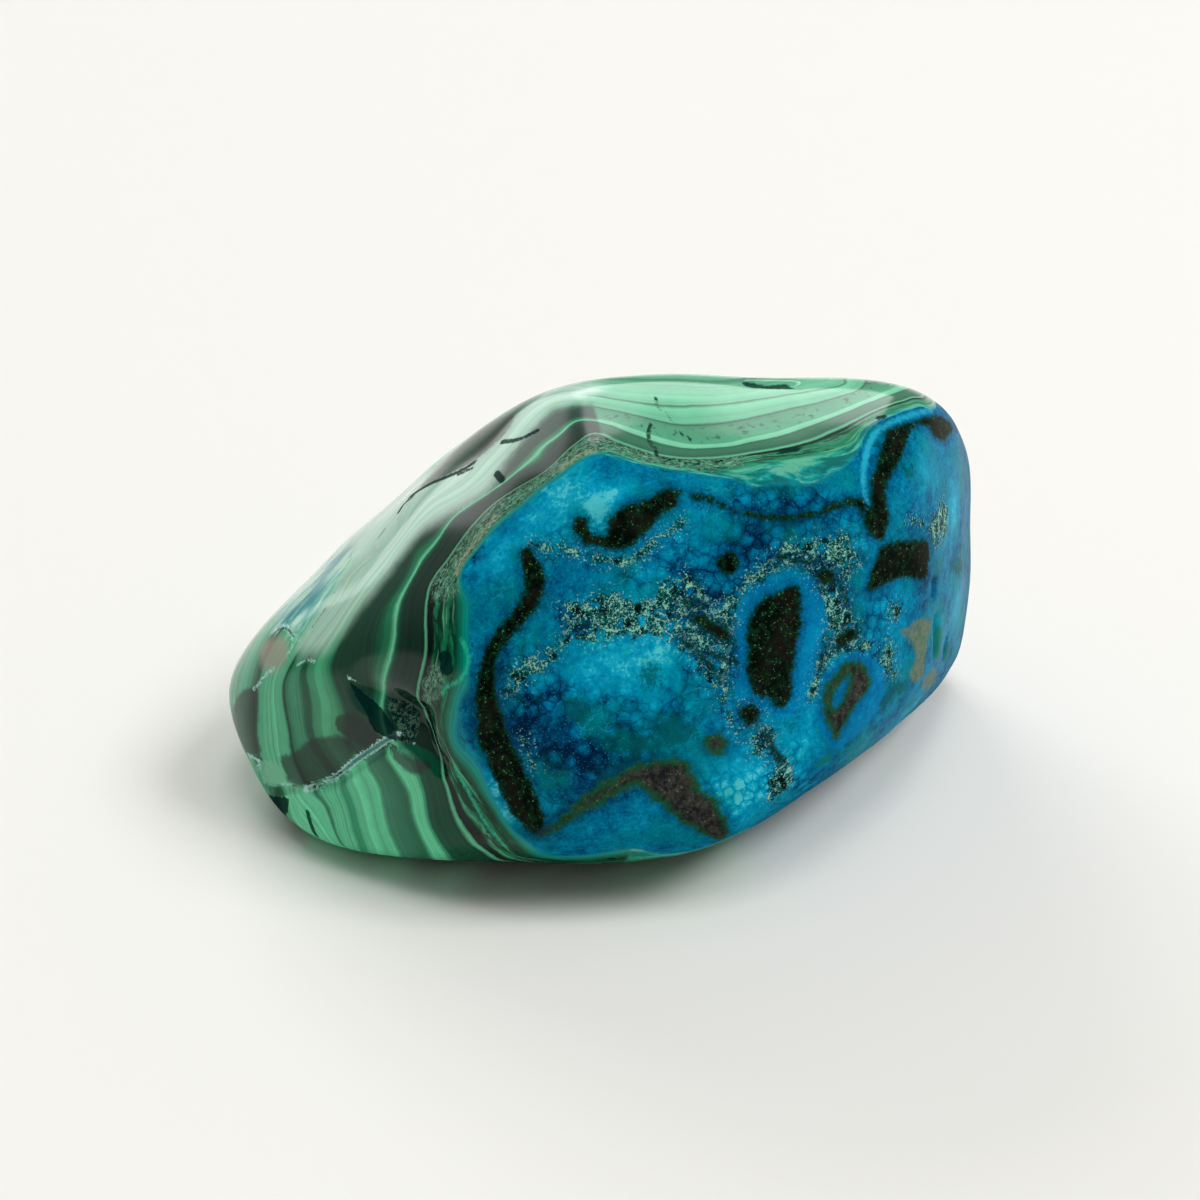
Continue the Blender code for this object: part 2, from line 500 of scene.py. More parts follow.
BANDS: Tuple[Band, ...] = (
    Band("edge of the blue, left and top", 0.0, (
        (540, 852), (527, 842), (510, 828), (496, 806), (486, 786), (476, 764), (466, 744), (462, 722),
        (461, 704), (469, 684), (469, 660), (468, 630), (468, 600), (462, 586), (464, 568), (480, 548),
        (500, 524), (520, 508), (544, 488), (570, 470), (584, 460), (600, 455), (620, 459), (640, 464),
        (670, 470), (700, 474), (727, 478), (754, 487), (776, 483), (809, 485), (836, 471), (854, 458),
        (861, 445), (864, 434), (873, 425), (891, 417), (913, 409), (935, 405))),
    Band("edge of the blue, foot", 0.0, (
        (553, 855), (583, 855), (611, 852), (635, 849), (662, 853), (689, 850), (712, 843), (735, 834))),
    Band("outer edge of the teal rim", 1.2, (
        (500, 826), (482, 800), (466, 776), (450, 752), (443, 722), (448, 694), (455, 660), (455, 630),
        (454, 600), (456, 576), (475, 545), (496, 518), (517, 501), (541, 482), (566, 464), (582, 454),
        (600, 448), (620, 454), (640, 459), (670, 465), (700, 469), (727, 472), (755, 465), (809, 456),
        (850, 444), (868, 424), (890, 413), (915, 404))),
    Band("bright thin line", 4.2, (
        (500, 860), (476, 845), (460, 824), (452, 804), (448, 788), (442, 774), (438, 758), (434, 742),
        (424, 727), (418, 712), (417, 694), (422, 670), (426, 650), (426, 630), (427, 600), (432, 581),
        (450, 556), (463, 538), (480, 518), (495, 503), (515, 489), (530, 481), (544, 473), (558, 461),
        (568, 450), (580, 441), (594, 432), (612, 439), (630, 446), (652, 453), (676, 457), (700, 458),
        (728, 457), (755, 453), (780, 448), (809, 440), (836, 428), (864, 416), (890, 405), (918, 398))),
    Band("double bright line", 8.0, (
        (448, 860), (438, 850), (429, 836), (422, 818), (420, 800), (415, 784), (407, 769), (394, 754),
        (386, 736), (379, 716), (378, 694), (385, 672), (391, 652), (394, 634), (396, 612), (402, 594),
        (411, 577), (420, 560), (432, 546), (442, 533), (457, 515), (474, 503), (494, 490), (507, 480),
        (528, 462), (546, 444), (564, 430), (578, 419), (598, 420), (620, 426), (642, 434), (664, 441),
        (690, 446), (715, 446), (733, 445), (747, 441), (762, 438), (782, 433), (802, 426), (827, 417),
        (845, 410), (864, 402), (882, 395), (896, 390))),
    Band("start of the striped bands", 13.0, (
        (400, 860), (387, 834), (381, 810), (376, 786), (364, 768), (350, 752), (341, 736), (343, 718),
        (339, 700), (333, 684), (329, 668), (334, 652), (342, 636), (352, 618), (362, 602), (374, 586),
        (388, 568), (400, 548), (412, 533), (424, 522), (436, 512), (452, 503), (468, 493), (484, 480),
        (500, 464), (514, 450), (528, 434), (540, 420), (552, 410), (568, 405), (582, 404), (600, 406),
        (624, 411), (652, 418), (676, 423), (700, 423), (727, 421), (755, 416), (782, 410), (809, 404),
        (830, 398), (855, 391))),
    Band("first dark gap", 17.0, (
        (368, 855), (359, 830), (352, 802), (342, 780), (328, 758), (314, 734), (312, 710), (308, 686),
        (305, 670), (312, 655), (322, 641), (336, 622), (350, 602), (366, 580), (382, 560), (402, 536),
        (422, 508), (440, 492), (460, 474), (480, 454), (500, 432), (520, 412), (545, 396), (568, 388),
        (600, 390), (640, 395), (690, 398), (730, 396), (790, 388), (830, 383))),
    Band("thin black line", 20.0, (
        (348, 850), (336, 830), (331, 812), (322, 798), (310, 788), (298, 770), (291, 752), (288, 732),
        (284, 710), (282, 690), (286, 674), (297, 652), (312, 626), (330, 600), (348, 570), (372, 544),
        (394, 518), (420, 488), (446, 458))),
    Band("end of the pale end band", 24.0, (
        (312, 842), (292, 818), (278, 796), (266, 770), (261, 746), (258, 728), (257, 702), (260, 680),
        (268, 656), (284, 628), (306, 600), (330, 570), (354, 544))),
    Band("inside the blue, near", -5.0, (
        (560, 812), (535, 780), (515, 740), (508, 700), (508, 660), (514, 620), (516, 580), (540, 540),
        (580, 505), (630, 500), (690, 506), (740, 518), (800, 520), (850, 505), (880, 480), (900, 450),
        (940, 440))),
    Band("inside the blue, far", -13.0, (
        (600, 770), (570, 700), (580, 620), (640, 570), (720, 570), (800, 570), (880, 540), (930, 520),
        (955, 530), (930, 640), (860, 720), (780, 770), (690, 790))),
)

ANCHORS: Tuple[Anchor, ...] = (
    Anchor(-9.0, mm(51.0, 4.0, 28.0)),
    Anchor(-7.0, mm(49.0, 10.0, 12.0)),
    Anchor(-2.0, mm(46.0, 20.0, 30.0)),
    Anchor(2.0, mm(40.0, 30.0, 14.0)),
    Anchor(3.0, mm(42.0, 6.0, 50.0)),
    Anchor(9.0, mm(30.0, 12.0, 52.0)),
    Anchor(14.0, mm(24.0, 32.0, 30.0)),
    Anchor(20.0, mm(0.0, 32.0, 32.0)),
    Anchor(24.0, mm(-12.0, 24.0, 44.0)),
    Anchor(18.0, mm(8.0, 12.0, 52.0)),
    Anchor(26.0, mm(-26.0, 30.0, 24.0)),
    Anchor(29.0, mm(-44.0, 22.0, 22.0)),
    Anchor(27.0, mm(-50.0, 14.0, 14.0)),
    Anchor(21.0, mm(-10.0, 31.0, 8.0)),
    Anchor(15.0, mm(14.0, 31.0, 8.0)),
    Anchor(26.0, mm(-36.0, 27.0, 6.0)),
    Anchor(22.0, mm(-38.0, 8.0, 0.0)),
    Anchor(13.0, mm(-26.0, 0.0, 0.0)),
    Anchor(5.0, mm(-12.0, -6.0, 0.0)),
    Anchor(1.0, mm(4.0, -10.0, 0.0)),
    Anchor(-4.0, mm(24.0, -8.0, 0.0)),
    Anchor(3.0, mm(20.0, 12.0, 0.0)),
    Anchor(14.0, mm(-10.0, 18.0, 0.0)),
)

RIDGE: Tuple[Sight, ...] = ((588, 386), (604, 444))

OVAL_HALO: Tuple[Sight, ...] = (
    (800, 571), (814, 579), (821, 597), (827, 616), (824, 640), (818, 664), (810, 690), (800, 706),
    (788, 716), (770, 716), (750, 708), (738, 700), (733, 680), (731, 656), (734, 634), (738, 612),
    (744, 597), (758, 587), (772, 577), (786, 571))

PATCHES: Tuple[Patch, ...] = (
    Patch("left dark band", Mark.DARK, (
        (519, 554), (526, 548), (535, 553), (543, 570), (545, 590), (537, 608), (524, 624), (510, 640),
        (500, 656), (496, 674), (497, 694), (504, 716), (512, 742), (523, 764), (533, 786), (542, 808),
        (545, 824), (535, 834), (522, 825), (507, 807), (497, 785), (486, 760), (477, 742), (475, 718),
        (475, 694), (478, 670), (484, 650), (493, 634), (506, 618), (518, 602), (524, 586), (522, 570))),
    Patch("upper dark patch", Mark.DARK, (
        (572, 524), (578, 515), (588, 520), (591, 531), (599, 536), (606, 532), (609, 519), (615, 511),
        (630, 504), (650, 498), (658, 492), (670, 488), (681, 492), (677, 506), (664, 513), (656, 522),
        (646, 534), (632, 546), (614, 550), (598, 548), (584, 544), (575, 534))),
    Patch("upper dark line", Mark.DARK, (
        (690, 493), (711, 496), (725, 504), (745, 511), (769, 514), (795, 514), (818, 509), (836, 502),
        (855, 498), (868, 505), (864, 513), (849, 507), (831, 513), (809, 518), (787, 521), (764, 521),
        (744, 516), (722, 509), (705, 502), (692, 498))),
    Patch("right dark band", Mark.DARK, (
        (889, 429), (905, 424), (924, 418), (938, 416), (949, 422), (953, 428), (944, 441), (933, 435),
        (925, 425), (913, 428), (907, 440), (902, 458), (893, 471), (889, 482), (885, 496), (888, 515),
        (885, 533), (881, 542), (875, 538), (864, 527), (862, 511), (869, 504), (871, 482), (875, 467),
        (880, 449), (884, 436))),
    Patch("large dark oval", Mark.DARK, (
        (795, 584), (801, 592), (801, 610), (802, 623), (798, 640), (796, 657), (793, 673), (792, 690),
        (789, 702), (783, 709), (775, 706), (767, 697), (757, 697), (750, 687), (746, 670), (747, 650),
        (746, 633), (748, 620), (755, 608), (762, 598), (773, 594), (783, 588))),
    Patch("halo of the large oval", Mark.HALO, OVAL_HALO),
    Patch("halo of the narrow oval", Mark.HALO, (
        (848, 652), (862, 652), (876, 662), (884, 674), (886, 692), (877, 710), (862, 728), (846, 744),
        (834, 750), (824, 738), (816, 716), (815, 696), (824, 674), (836, 660))),
    Patch("dark crescent in the lace", Mark.DARK, (
        (689, 613), (700, 614), (714, 620), (729, 630), (730, 641), (718, 640), (706, 631), (696, 624))),
    Patch("dark wedge by the large oval", Mark.DARK, (
        (815, 572), (832, 567), (834, 580), (823, 586), (817, 579))),
    Patch("dark wedge by the narrow oval", Mark.DARK, (
        (835, 648), (838, 634), (849, 628), (858, 630), (857, 638), (847, 643), (839, 649))),
    Patch("narrow brown oval", Mark.BROWN, (
        (847, 661), (860, 662), (867, 670), (869, 685), (858, 702), (848, 717), (840, 732), (833, 740),
        (828, 727), (823, 713), (822, 697), (828, 683), (837, 671)),
        ((848, 676), (846, 690), (839, 702), (833, 708), (833, 697), (840, 684))),
    Patch("umber patch", Mark.DARK, (
        (882, 545), (897, 541), (923, 539), (929, 546), (928, 565), (924, 581), (904, 578), (886, 585),
        (871, 592), (865, 588), (870, 573), (875, 558))),
    Patch("long brown patch", Mark.BROWN, (
        (553, 823), (567, 810), (582, 795), (598, 786), (618, 773), (635, 764), (662, 759), (684, 760),
        (694, 772), (700, 788), (714, 797), (722, 812), (729, 828), (722, 839), (710, 838), (695, 829),
        (677, 819), (664, 805), (651, 797), (635, 786), (618, 794), (600, 805), (582, 814), (564, 825),
        (547, 836), (535, 837), (529, 828), (536, 820), (543, 824))),
    Patch("olive patch", Mark.OLIVE, (
        (900, 632), (910, 625), (922, 617), (932, 622), (928, 640), (925, 657), (922, 677), (913, 682),
        (909, 673), (915, 660), (913, 647), (905, 637))),
    Patch("small olive patch", Mark.OLIVE, ((933, 667), (938, 677), (928, 693), (922, 690), (924, 679))),
    Patch("upper lace", Mark.DRUSE, (
        (560, 604), (589, 602), (600, 594), (614, 593), (629, 601), (643, 605), (655, 596), (663, 584),
        (680, 575), (696, 582), (706, 595), (720, 607), (733, 612), (736, 633), (732, 657), (727, 698),
        (736, 728), (730, 724), (721, 702), (709, 686), (697, 672), (691, 656), (673, 645), (655, 637),
        (635, 637), (618, 636), (605, 640), (589, 642), (570, 641), (555, 656), (545, 667), (526, 682),
        (516, 694), (507, 699), (505, 693), (514, 676), (526, 664), (544, 654), (557, 645), (565, 634),
        (568, 622))),
    Patch("lace round the large oval", Mark.DRUSE, (
        (722, 607), (738, 590), (746, 575), (758, 567), (771, 562), (776, 552), (791, 543), (809, 540),
        (827, 539), (845, 534), (854, 538), (850, 547), (860, 556), (857, 566), (849, 574), (847, 590),
        (851, 615), (860, 627), (862, 640), (874, 648), (850, 651), (832, 659), (824, 676), (814, 699),
        (808, 696), (815, 673), (822, 640), (828, 616), (824, 602), (817, 593), (812, 577), (800, 567),
        (785, 567), (770, 573), (756, 584), (743, 594), (734, 611))),
    Patch("lower lace", Mark.DRUSE, (
        (768, 725), (774, 733), (779, 748), (790, 768), (792, 780), (781, 796), (773, 800), (767, 795),
        (770, 779), (774, 768), (768, 760), (763, 750), (756, 757), (750, 743), (757, 734))),
    Patch("right lace", Mark.DRUSE, (
        (904, 524), (915, 517), (927, 524), (936, 511), (942, 498), (948, 516), (945, 535), (936, 545),
        (927, 530), (915, 524))),
    Patch("lace fleck", Mark.DRUSE, ((889, 604), (897, 601), (902, 607), (899, 616), (892, 619))),
    Patch("lace by the narrow oval", Mark.DRUSE, (
        (886, 638), (893, 652), (891, 667), (900, 673), (889, 677), (882, 667), (880, 656), (884, 646))),
    Patch("teal tail", Mark.SMUDGE, (
        (885, 677), (903, 680), (915, 683), (893, 700), (882, 716), (879, 706), (886, 690))),
    Patch("right slit upper", Mark.FILL, ((933, 633), (942, 626), (941, 647), (937, 661), (932, 657))),
    Patch("right slit lower", Mark.FILL, ((945, 647), (949, 640), (949, 657), (943, 663))),
    Patch("green slit at the foot", Mark.FILL, ((816, 764), (824, 756), (833, 752), (828, 762), (819, 767))),
    Patch("right end mottle", Mark.SMUDGE, ((948, 563), (965, 556), (967, 570), (957, 579))),
    Patch("notch", Mark.CRACK, (
        (350, 682), (360, 690), (372, 699), (382, 709), (389, 719), (395, 730), (397, 740), (386, 737),
        (374, 730), (368, 717), (361, 704), (354, 693))),
    Patch("notch shadow", Mark.SHADE, (
        (336, 716), (350, 712), (362, 716), (376, 730), (392, 740), (384, 750), (366, 748), (348, 738),
        (336, 728))),
    Patch("crumbs beside the notch", Mark.RUBBLE, (
        (386, 700), (396, 700), (408, 702), (416, 708), (420, 720), (418, 732), (412, 742), (404, 744),
        (399, 736), (396, 726), (391, 714))),
    Patch("shade under the notch", Mark.SHADE, (
        (392, 744), (404, 752), (418, 758), (432, 764), (424, 774), (410, 774), (398, 764), (390, 754))),
    Patch("foot bands", Mark.FOOT, (
        (262, 806), (284, 796), (308, 791), (340, 777), (372, 752), (398, 741), (422, 748), (436, 756),
        (452, 778), (470, 800), (498, 838), (530, 862), (500, 880), (400, 885), (300, 870), (262, 830))),
    Patch("calm azure", Mark.CALM, (
        (596, 458), (640, 466), (700, 476), (700, 490), (676, 486), (640, 500), (610, 512), (600, 530),
        (588, 512), (572, 514), (560, 530), (530, 545), (520, 560), (520, 590), (500, 630), (484, 670),
        (470, 690), (470, 640), (466, 590), (480, 556), (510, 520), (545, 490), (580, 464))),
    Patch("calm halo", Mark.CALM, OVAL_HALO),
    Patch("calm right end", Mark.CALM, (
        (905, 430), (950, 430), (975, 470), (980, 560), (960, 640), (900, 720), (830, 780), (800, 760),
        (860, 720), (890, 660), (900, 600), (860, 600), (870, 560), (900, 530), (895, 480))),
    Patch("calm under the brown patch", Mark.CALM, (
        (556, 838), (600, 808), (642, 788), (680, 806), (714, 834), (690, 852), (620, 858), (570, 857))),
    Patch("teal above the brown patch", Mark.SMUDGE, (
        (592, 786), (606, 768), (630, 752), (652, 738), (676, 724), (694, 724), (700, 736), (684, 744),
        (660, 752), (634, 766), (610, 784))),
    Patch("sheen on the right end", Mark.SHEEN, (
        (928, 420), (975, 440), (990, 560), (978, 640), (940, 700), (880, 762), (842, 782), (850, 752),
        (894, 704), (926, 650), (928, 560), (924, 480))),
    Patch("grainy rim", Mark.GRAIN, (
        (600, 436), (640, 444), (700, 452), (740, 452), (740, 466), (700, 470), (640, 462), (600, 452),
        (560, 478), (520, 512), (480, 556), (462, 590), (436, 600), (430, 570), (450, 530), (500, 478),
        (560, 442))),
    Patch("grainy rim, low", Mark.GRAIN, (
        (430, 668), (440, 668), (442, 684), (438, 700), (428, 702), (424, 690))),
    # A pinkish grey oval on the tip, laid in a colour of its own.
    Patch("pebble at the tip", Mark.PINK_GREY_OVAL, (
        (262, 668), (259, 655), (264, 643), (275, 636), (285, 637), (289, 648), (287, 660), (280, 670),
        (270, 674))),
    Patch("left tip chip", Mark.CRACK, (
        (266, 794), (276, 797), (289, 799), (285, 818), (278, 812), (269, 801))),
    Patch("dark lobe", Mark.SHADE, (
        (280, 756), (294, 751), (310, 738), (326, 735), (341, 735), (353, 743), (353, 764), (337, 777),
        (314, 785), (300, 788), (287, 782), (282, 768))),
    Patch("dark outline patch", Mark.SHADE, (
        (410, 496), (430, 474), (448, 454), (480, 430), (504, 416), (519, 411), (508, 432), (488, 450),
        (473, 462), (456, 471), (430, 484))),
    Patch("dark end", Mark.SHADE, (
        (240, 690), (257, 688), (259, 712), (258, 738), (262, 752), (250, 756), (240, 742), (232, 715))),
    Patch("green blob on the tip", Mark.PALE, (
        (260, 761), (272, 760), (285, 770), (287, 781), (275, 787), (265, 783), (260, 772))),
    Patch("pale shoulder", Mark.FROST, (
        (604, 384), (582, 400), (556, 406), (540, 420), (528, 434), (514, 450), (502, 466), (492, 486),
        (470, 503), (446, 516), (426, 528), (410, 544), (396, 562), (378, 586), (362, 606), (346, 626),
        (330, 644), (312, 654), (296, 648), (310, 622), (326, 598), (343, 572), (352, 556), (350, 530),
        (376, 500), (400, 480), (430, 474), (470, 460), (490, 446), (508, 428), (522, 412), (545, 393),
        (572, 382))),
    Patch("turquoise mottle", Mark.TURQUOISE, (
        (352, 552), (340, 576), (328, 598), (314, 618), (301, 634), (290, 628), (272, 632), (282, 604),
        (300, 582), (318, 556), (336, 540), (348, 538))),
)

STREAKS: Tuple[Streak, ...] = (
    Streak("bright vein", Mark.CYAN, (
        (867, 506), (864, 484), (865, 462), (869, 445), (878, 431), (893, 423), (911, 416), (931, 410)),
        0.50 * MM),
    Streak("lace under the upper dark patch", Mark.LACE, (
        (531, 545), (550, 549), (579, 552), (605, 560), (628, 561), (645, 550), (662, 536),
        (682, 523)), 0.5 * MM),
    Streak("short wavy lace", Mark.LACE, (
        (522, 739), (528, 745), (525, 752), (530, 760), (534, 768)), 0.3 * MM),
    Streak("lace loop left", Mark.LACE, (
        (505, 694), (514, 676), (526, 664), (544, 654), (557, 645), (565, 634)), 0.4 * MM),
    Streak("lace tail", Mark.LACE, ((722, 700), (729, 712), (733, 724), (738, 732)), 0.35 * MM),
    Streak("ring round the small dark spot", Mark.LACE, (
        (741, 703), (752, 701), (760, 709), (761, 720), (753, 727), (743, 724), (738, 714),
        (741, 703)), 0.18 * MM),
    Streak("cream rim, side", Mark.CREAM, (
        (457, 574), (461, 562), (469, 551), (478, 539), (488, 526), (496, 517)), 0.42 * MM),
    Streak("cream rim, top", Mark.CREAM, ((560, 470), (572, 461), (584, 454), (596, 452)), 0.45 * MM),
    Streak("teal loop", Mark.RIM, (
        (462, 640), (468, 655), (467, 668), (460, 680), (448, 686), (443, 693)), 0.30 * MM),
    Streak("thin teal line, low", Mark.RIM, ((453, 764), (468, 792), (486, 824), (506, 847)), 0.26 * MM),
    Streak("long crack, open end", Mark.CRACK, ((309, 789), (320, 785), (332, 780), (342, 773)), 0.24 * MM),
    Streak("long crack, fill", Mark.FILL, (
        (318, 785), (332, 779), (342, 773), (356, 761), (372, 750), (386, 741), (394, 738)), 0.34 * MM),
    Streak("long crack lining", Mark.WHITE, (
        (306, 789), (322, 785), (340, 775), (356, 761), (372, 751), (386, 741), (398, 736)), 0.60 * MM),
    Streak("left tip vein", Mark.WHITE, (
        (243, 751), (258, 760), (257, 772), (264, 786), (274, 790), (288, 785), (295, 788)), 0.42 * MM),
    Streak("left tip vein, dark middle", Mark.CRACK, (
        (245, 752), (256, 760), (258, 773), (265, 786)), 0.14 * MM),
    Streak("foot slit", Mark.CRACK, ((308, 812), (310, 820), (314, 831), (319, 838)), 0.40 * MM),
    Streak("silvery notch edge", Mark.WHITE, (
        (349, 678), (361, 686), (374, 695), (386, 706), (393, 718)), 0.22 * MM),
    Streak("notch cleft", Mark.CRACK, ((386, 700), (394, 712), (400, 724), (404, 738)), 0.24 * MM),
    Streak("notch inner vein", Mark.WHITE, (
        (404, 722), (412, 728), (419, 722), (420, 735), (414, 744), (410, 738)), 0.25 * MM),
    Streak("white thread", Mark.WHITE, ((297, 665), (306, 659), (315, 662)), 0.22 * MM),
    Streak("end vein upper", Mark.WHITE, ((274, 632), (284, 625), (290, 633), (299, 639)), 0.36 * MM),
    Streak("end vein, dark middle", Mark.CRACK, ((278, 630), (286, 628), (292, 635), (298, 639)), 0.18 * MM),
    Streak("end vein side", Mark.WHITE, ((290, 633), (292, 645), (286, 656)), 0.24 * MM),
    Streak("end vein lower", Mark.WHITE, ((274, 669), (264, 676), (253, 690)), 0.30 * MM),
    Streak("shoulder crack", Mark.CRACK, ((502, 442), (520, 440), (538, 431)), 0.38 * MM),
    Streak("outline crack", Mark.CRACK, ((408, 497), (430, 484), (456, 472), (474, 461)), 0.40 * MM),
    Streak("top nick", Mark.CRACK, ((752, 383), (768, 384), (786, 384)), 1.30 * MM),
    Streak("shoulder pit", Mark.CRACK, ((497, 474), (503, 481)), 0.50 * MM),
    Streak("top crack upper", Mark.CRACK, ((655, 397), (658, 406), (666, 414), (672, 422)), 0.22 * MM),
    Streak("top crack lower", Mark.CRACK, ((651, 423), (648, 438), (655, 448), (657, 456)), 0.26 * MM),
    Streak("top crack side", Mark.CRACK, ((680, 432), (692, 440)), 0.28 * MM),
    Streak("rim pits left", Mark.CRACK, ((664, 460), (676, 459), (688, 463), (700, 463)), 0.24 * MM),
    Streak("rim pits centre", Mark.CRACK, ((712, 461), (727, 462)), 0.26 * MM),
    Streak("rim pits right", Mark.CRACK, ((778, 453), (788, 451), (798, 449)), 0.40 * MM),
    Streak("rim pit far", Mark.CRACK, ((877, 419), (885, 417)), 0.35 * MM),
    Streak("shoulder dash 1", Mark.CRACK, ((472, 467), (458, 474)), 0.30 * MM),
    Streak("shoulder dash 2", Mark.CRACK, ((412, 497), (403, 504), (398, 512)), 0.34 * MM),
    Streak("shoulder dash 3", Mark.CRACK, ((384, 528), (376, 538)), 0.26 * MM),
    Streak("shoulder dash 4", Mark.CRACK, ((360, 553), (352, 562)), 0.36 * MM),
    Streak("shoulder dash 5", Mark.CRACK, ((341, 579), (332, 593)), 0.22 * MM),
    Streak("shoulder dash 6", Mark.CRACK, ((325, 606), (311, 626)), 0.26 * MM),
    Streak("shoulder hairline", Mark.CRACK, (
        (398, 512), (376, 538), (352, 562), (332, 593), (311, 626)), 0.10 * MM),
    Streak("upper right pit", Mark.SMUDGE, ((932, 581), (935, 590), (932, 600)), 0.45 * MM),
    Streak("lace gap", Mark.DARK, ((711, 652), (725, 660)), 0.30 * MM),
    Streak("lace gap below the crescent", Mark.DARK, (
        (682, 640), (694, 650), (708, 664), (722, 682)), 0.34 * MM),
    Streak("lace gap beside the halo", Mark.DARK, ((734, 640), (736, 660), (733, 676)), 0.24 * MM),
    Streak("lace gap above", Mark.DARK, ((684, 602), (694, 606), (704, 604)), 0.30 * MM),
    Streak("lace gap right", Mark.DARK, ((838, 574), (842, 590), (846, 606)), 0.18 * MM),
    Streak("lace gap right foot", Mark.DARK, ((828, 636), (824, 652), (820, 668)), 0.26 * MM),
    Streak("lace gap top", Mark.DARK, ((776, 556), (792, 560), (806, 562), (818, 560)), 0.26 * MM),
    Streak("lower lace gap", Mark.DARK, ((765, 733), (772, 748), (783, 762)), 0.30 * MM),
    Streak("lace gap left", Mark.DARK, ((573, 629), (590, 626)), 0.20 * MM),
    Streak("black vein by the umber patch", Mark.DARK, ((838, 574), (850, 567), (861, 560)), 0.22 * MM),
)

SPOTS: Tuple[Spot, ...] = (
    Spot("upper dark spot", Mark.DARK, (728, 563), 1.45 * MM),
    Spot("small dark spot", Mark.DARK, (749, 714), 1.30 * MM),
    Spot("brown spot", Mark.BROWN, (716, 744), 1.4 * MM),
    Spot("grey spot", Mark.SMUDGE, (650, 676), 1.5 * MM),
    Spot("teal smudge left", Mark.SMUDGE, (576, 709), 1.8 * MM),
    Spot("teal smudge right", Mark.SMUDGE, (672, 730), 2.4 * MM),
    Spot("teal smudge middle", Mark.SMUDGE, (640, 746), 1.8 * MM),
    Spot("tiny spot", Mark.SMUDGE, (790, 727), 0.6 * MM),
    Spot("smudge beside the band, upper", Mark.SMUDGE, (916, 444), 0.6 * MM),
    Spot("smudge beside the band, lower", Mark.SMUDGE, (907, 472), 1.0 * MM),
    Spot("green spot at the corner", Mark.OLIVE, (943, 437), 0.9 * MM),
    Spot("dark core by the loop", Mark.CRACK, (446, 658), 0.9 * MM),
    Spot("dark core below it", Mark.CRACK, (447, 668), 0.9 * MM),
    Spot("foot spot", Mark.CRACK, (611, 858), 0.6 * MM),
)

GLOWS: Tuple[Glow, ...] = (
    Glow((560, 495), 42, 0.45),
    Glow((500, 560), 30, 0.25),
    # The next three are a painted highlight: small lighter pools along the soft ridge at the top of the blue.
    Glow((594, 502), 8, 0.35),
    Glow((612, 494), 8, 0.45),
    Glow((630, 484), 8, 0.35),
    Glow((500, 800), 34, 0.60),
    Glow((600, 520), 14, 0.35),
    Glow((645, 662), 46, 0.45),
    Glow((590, 665), 30, 0.25),
    Glow((735, 790), 46, 0.45),
    Glow((800, 745), 30, 0.25),
    Glow((640, 825), 40, 0.15),
    Glow((815, 640), 26, 0.20),
    Glow((690, 530), 40, 0.15),
    Glow((925, 470), 34, 0.20),
    # The next two: lighter blue along the right edge, the stone's own tone with a painted reflection veil on
    # it.
    Glow((955, 510), 30, 0.40),
    Glow((958, 600), 30, 0.40),
    Glow((905, 715), 30, 0.30),
    Glow((900, 620), 40, 0.15),
    Glow((520, 730), 36, -0.30),
    Glow((560, 770), 40, -0.20),
    Glow((625, 745), 60, -0.22),
    Glow((700, 600), 30, -0.25),
    Glow((500, 600), 24, -0.10),
    Glow((800, 500), 40, -0.10),
    Glow((760, 545), 34, -0.15),
)


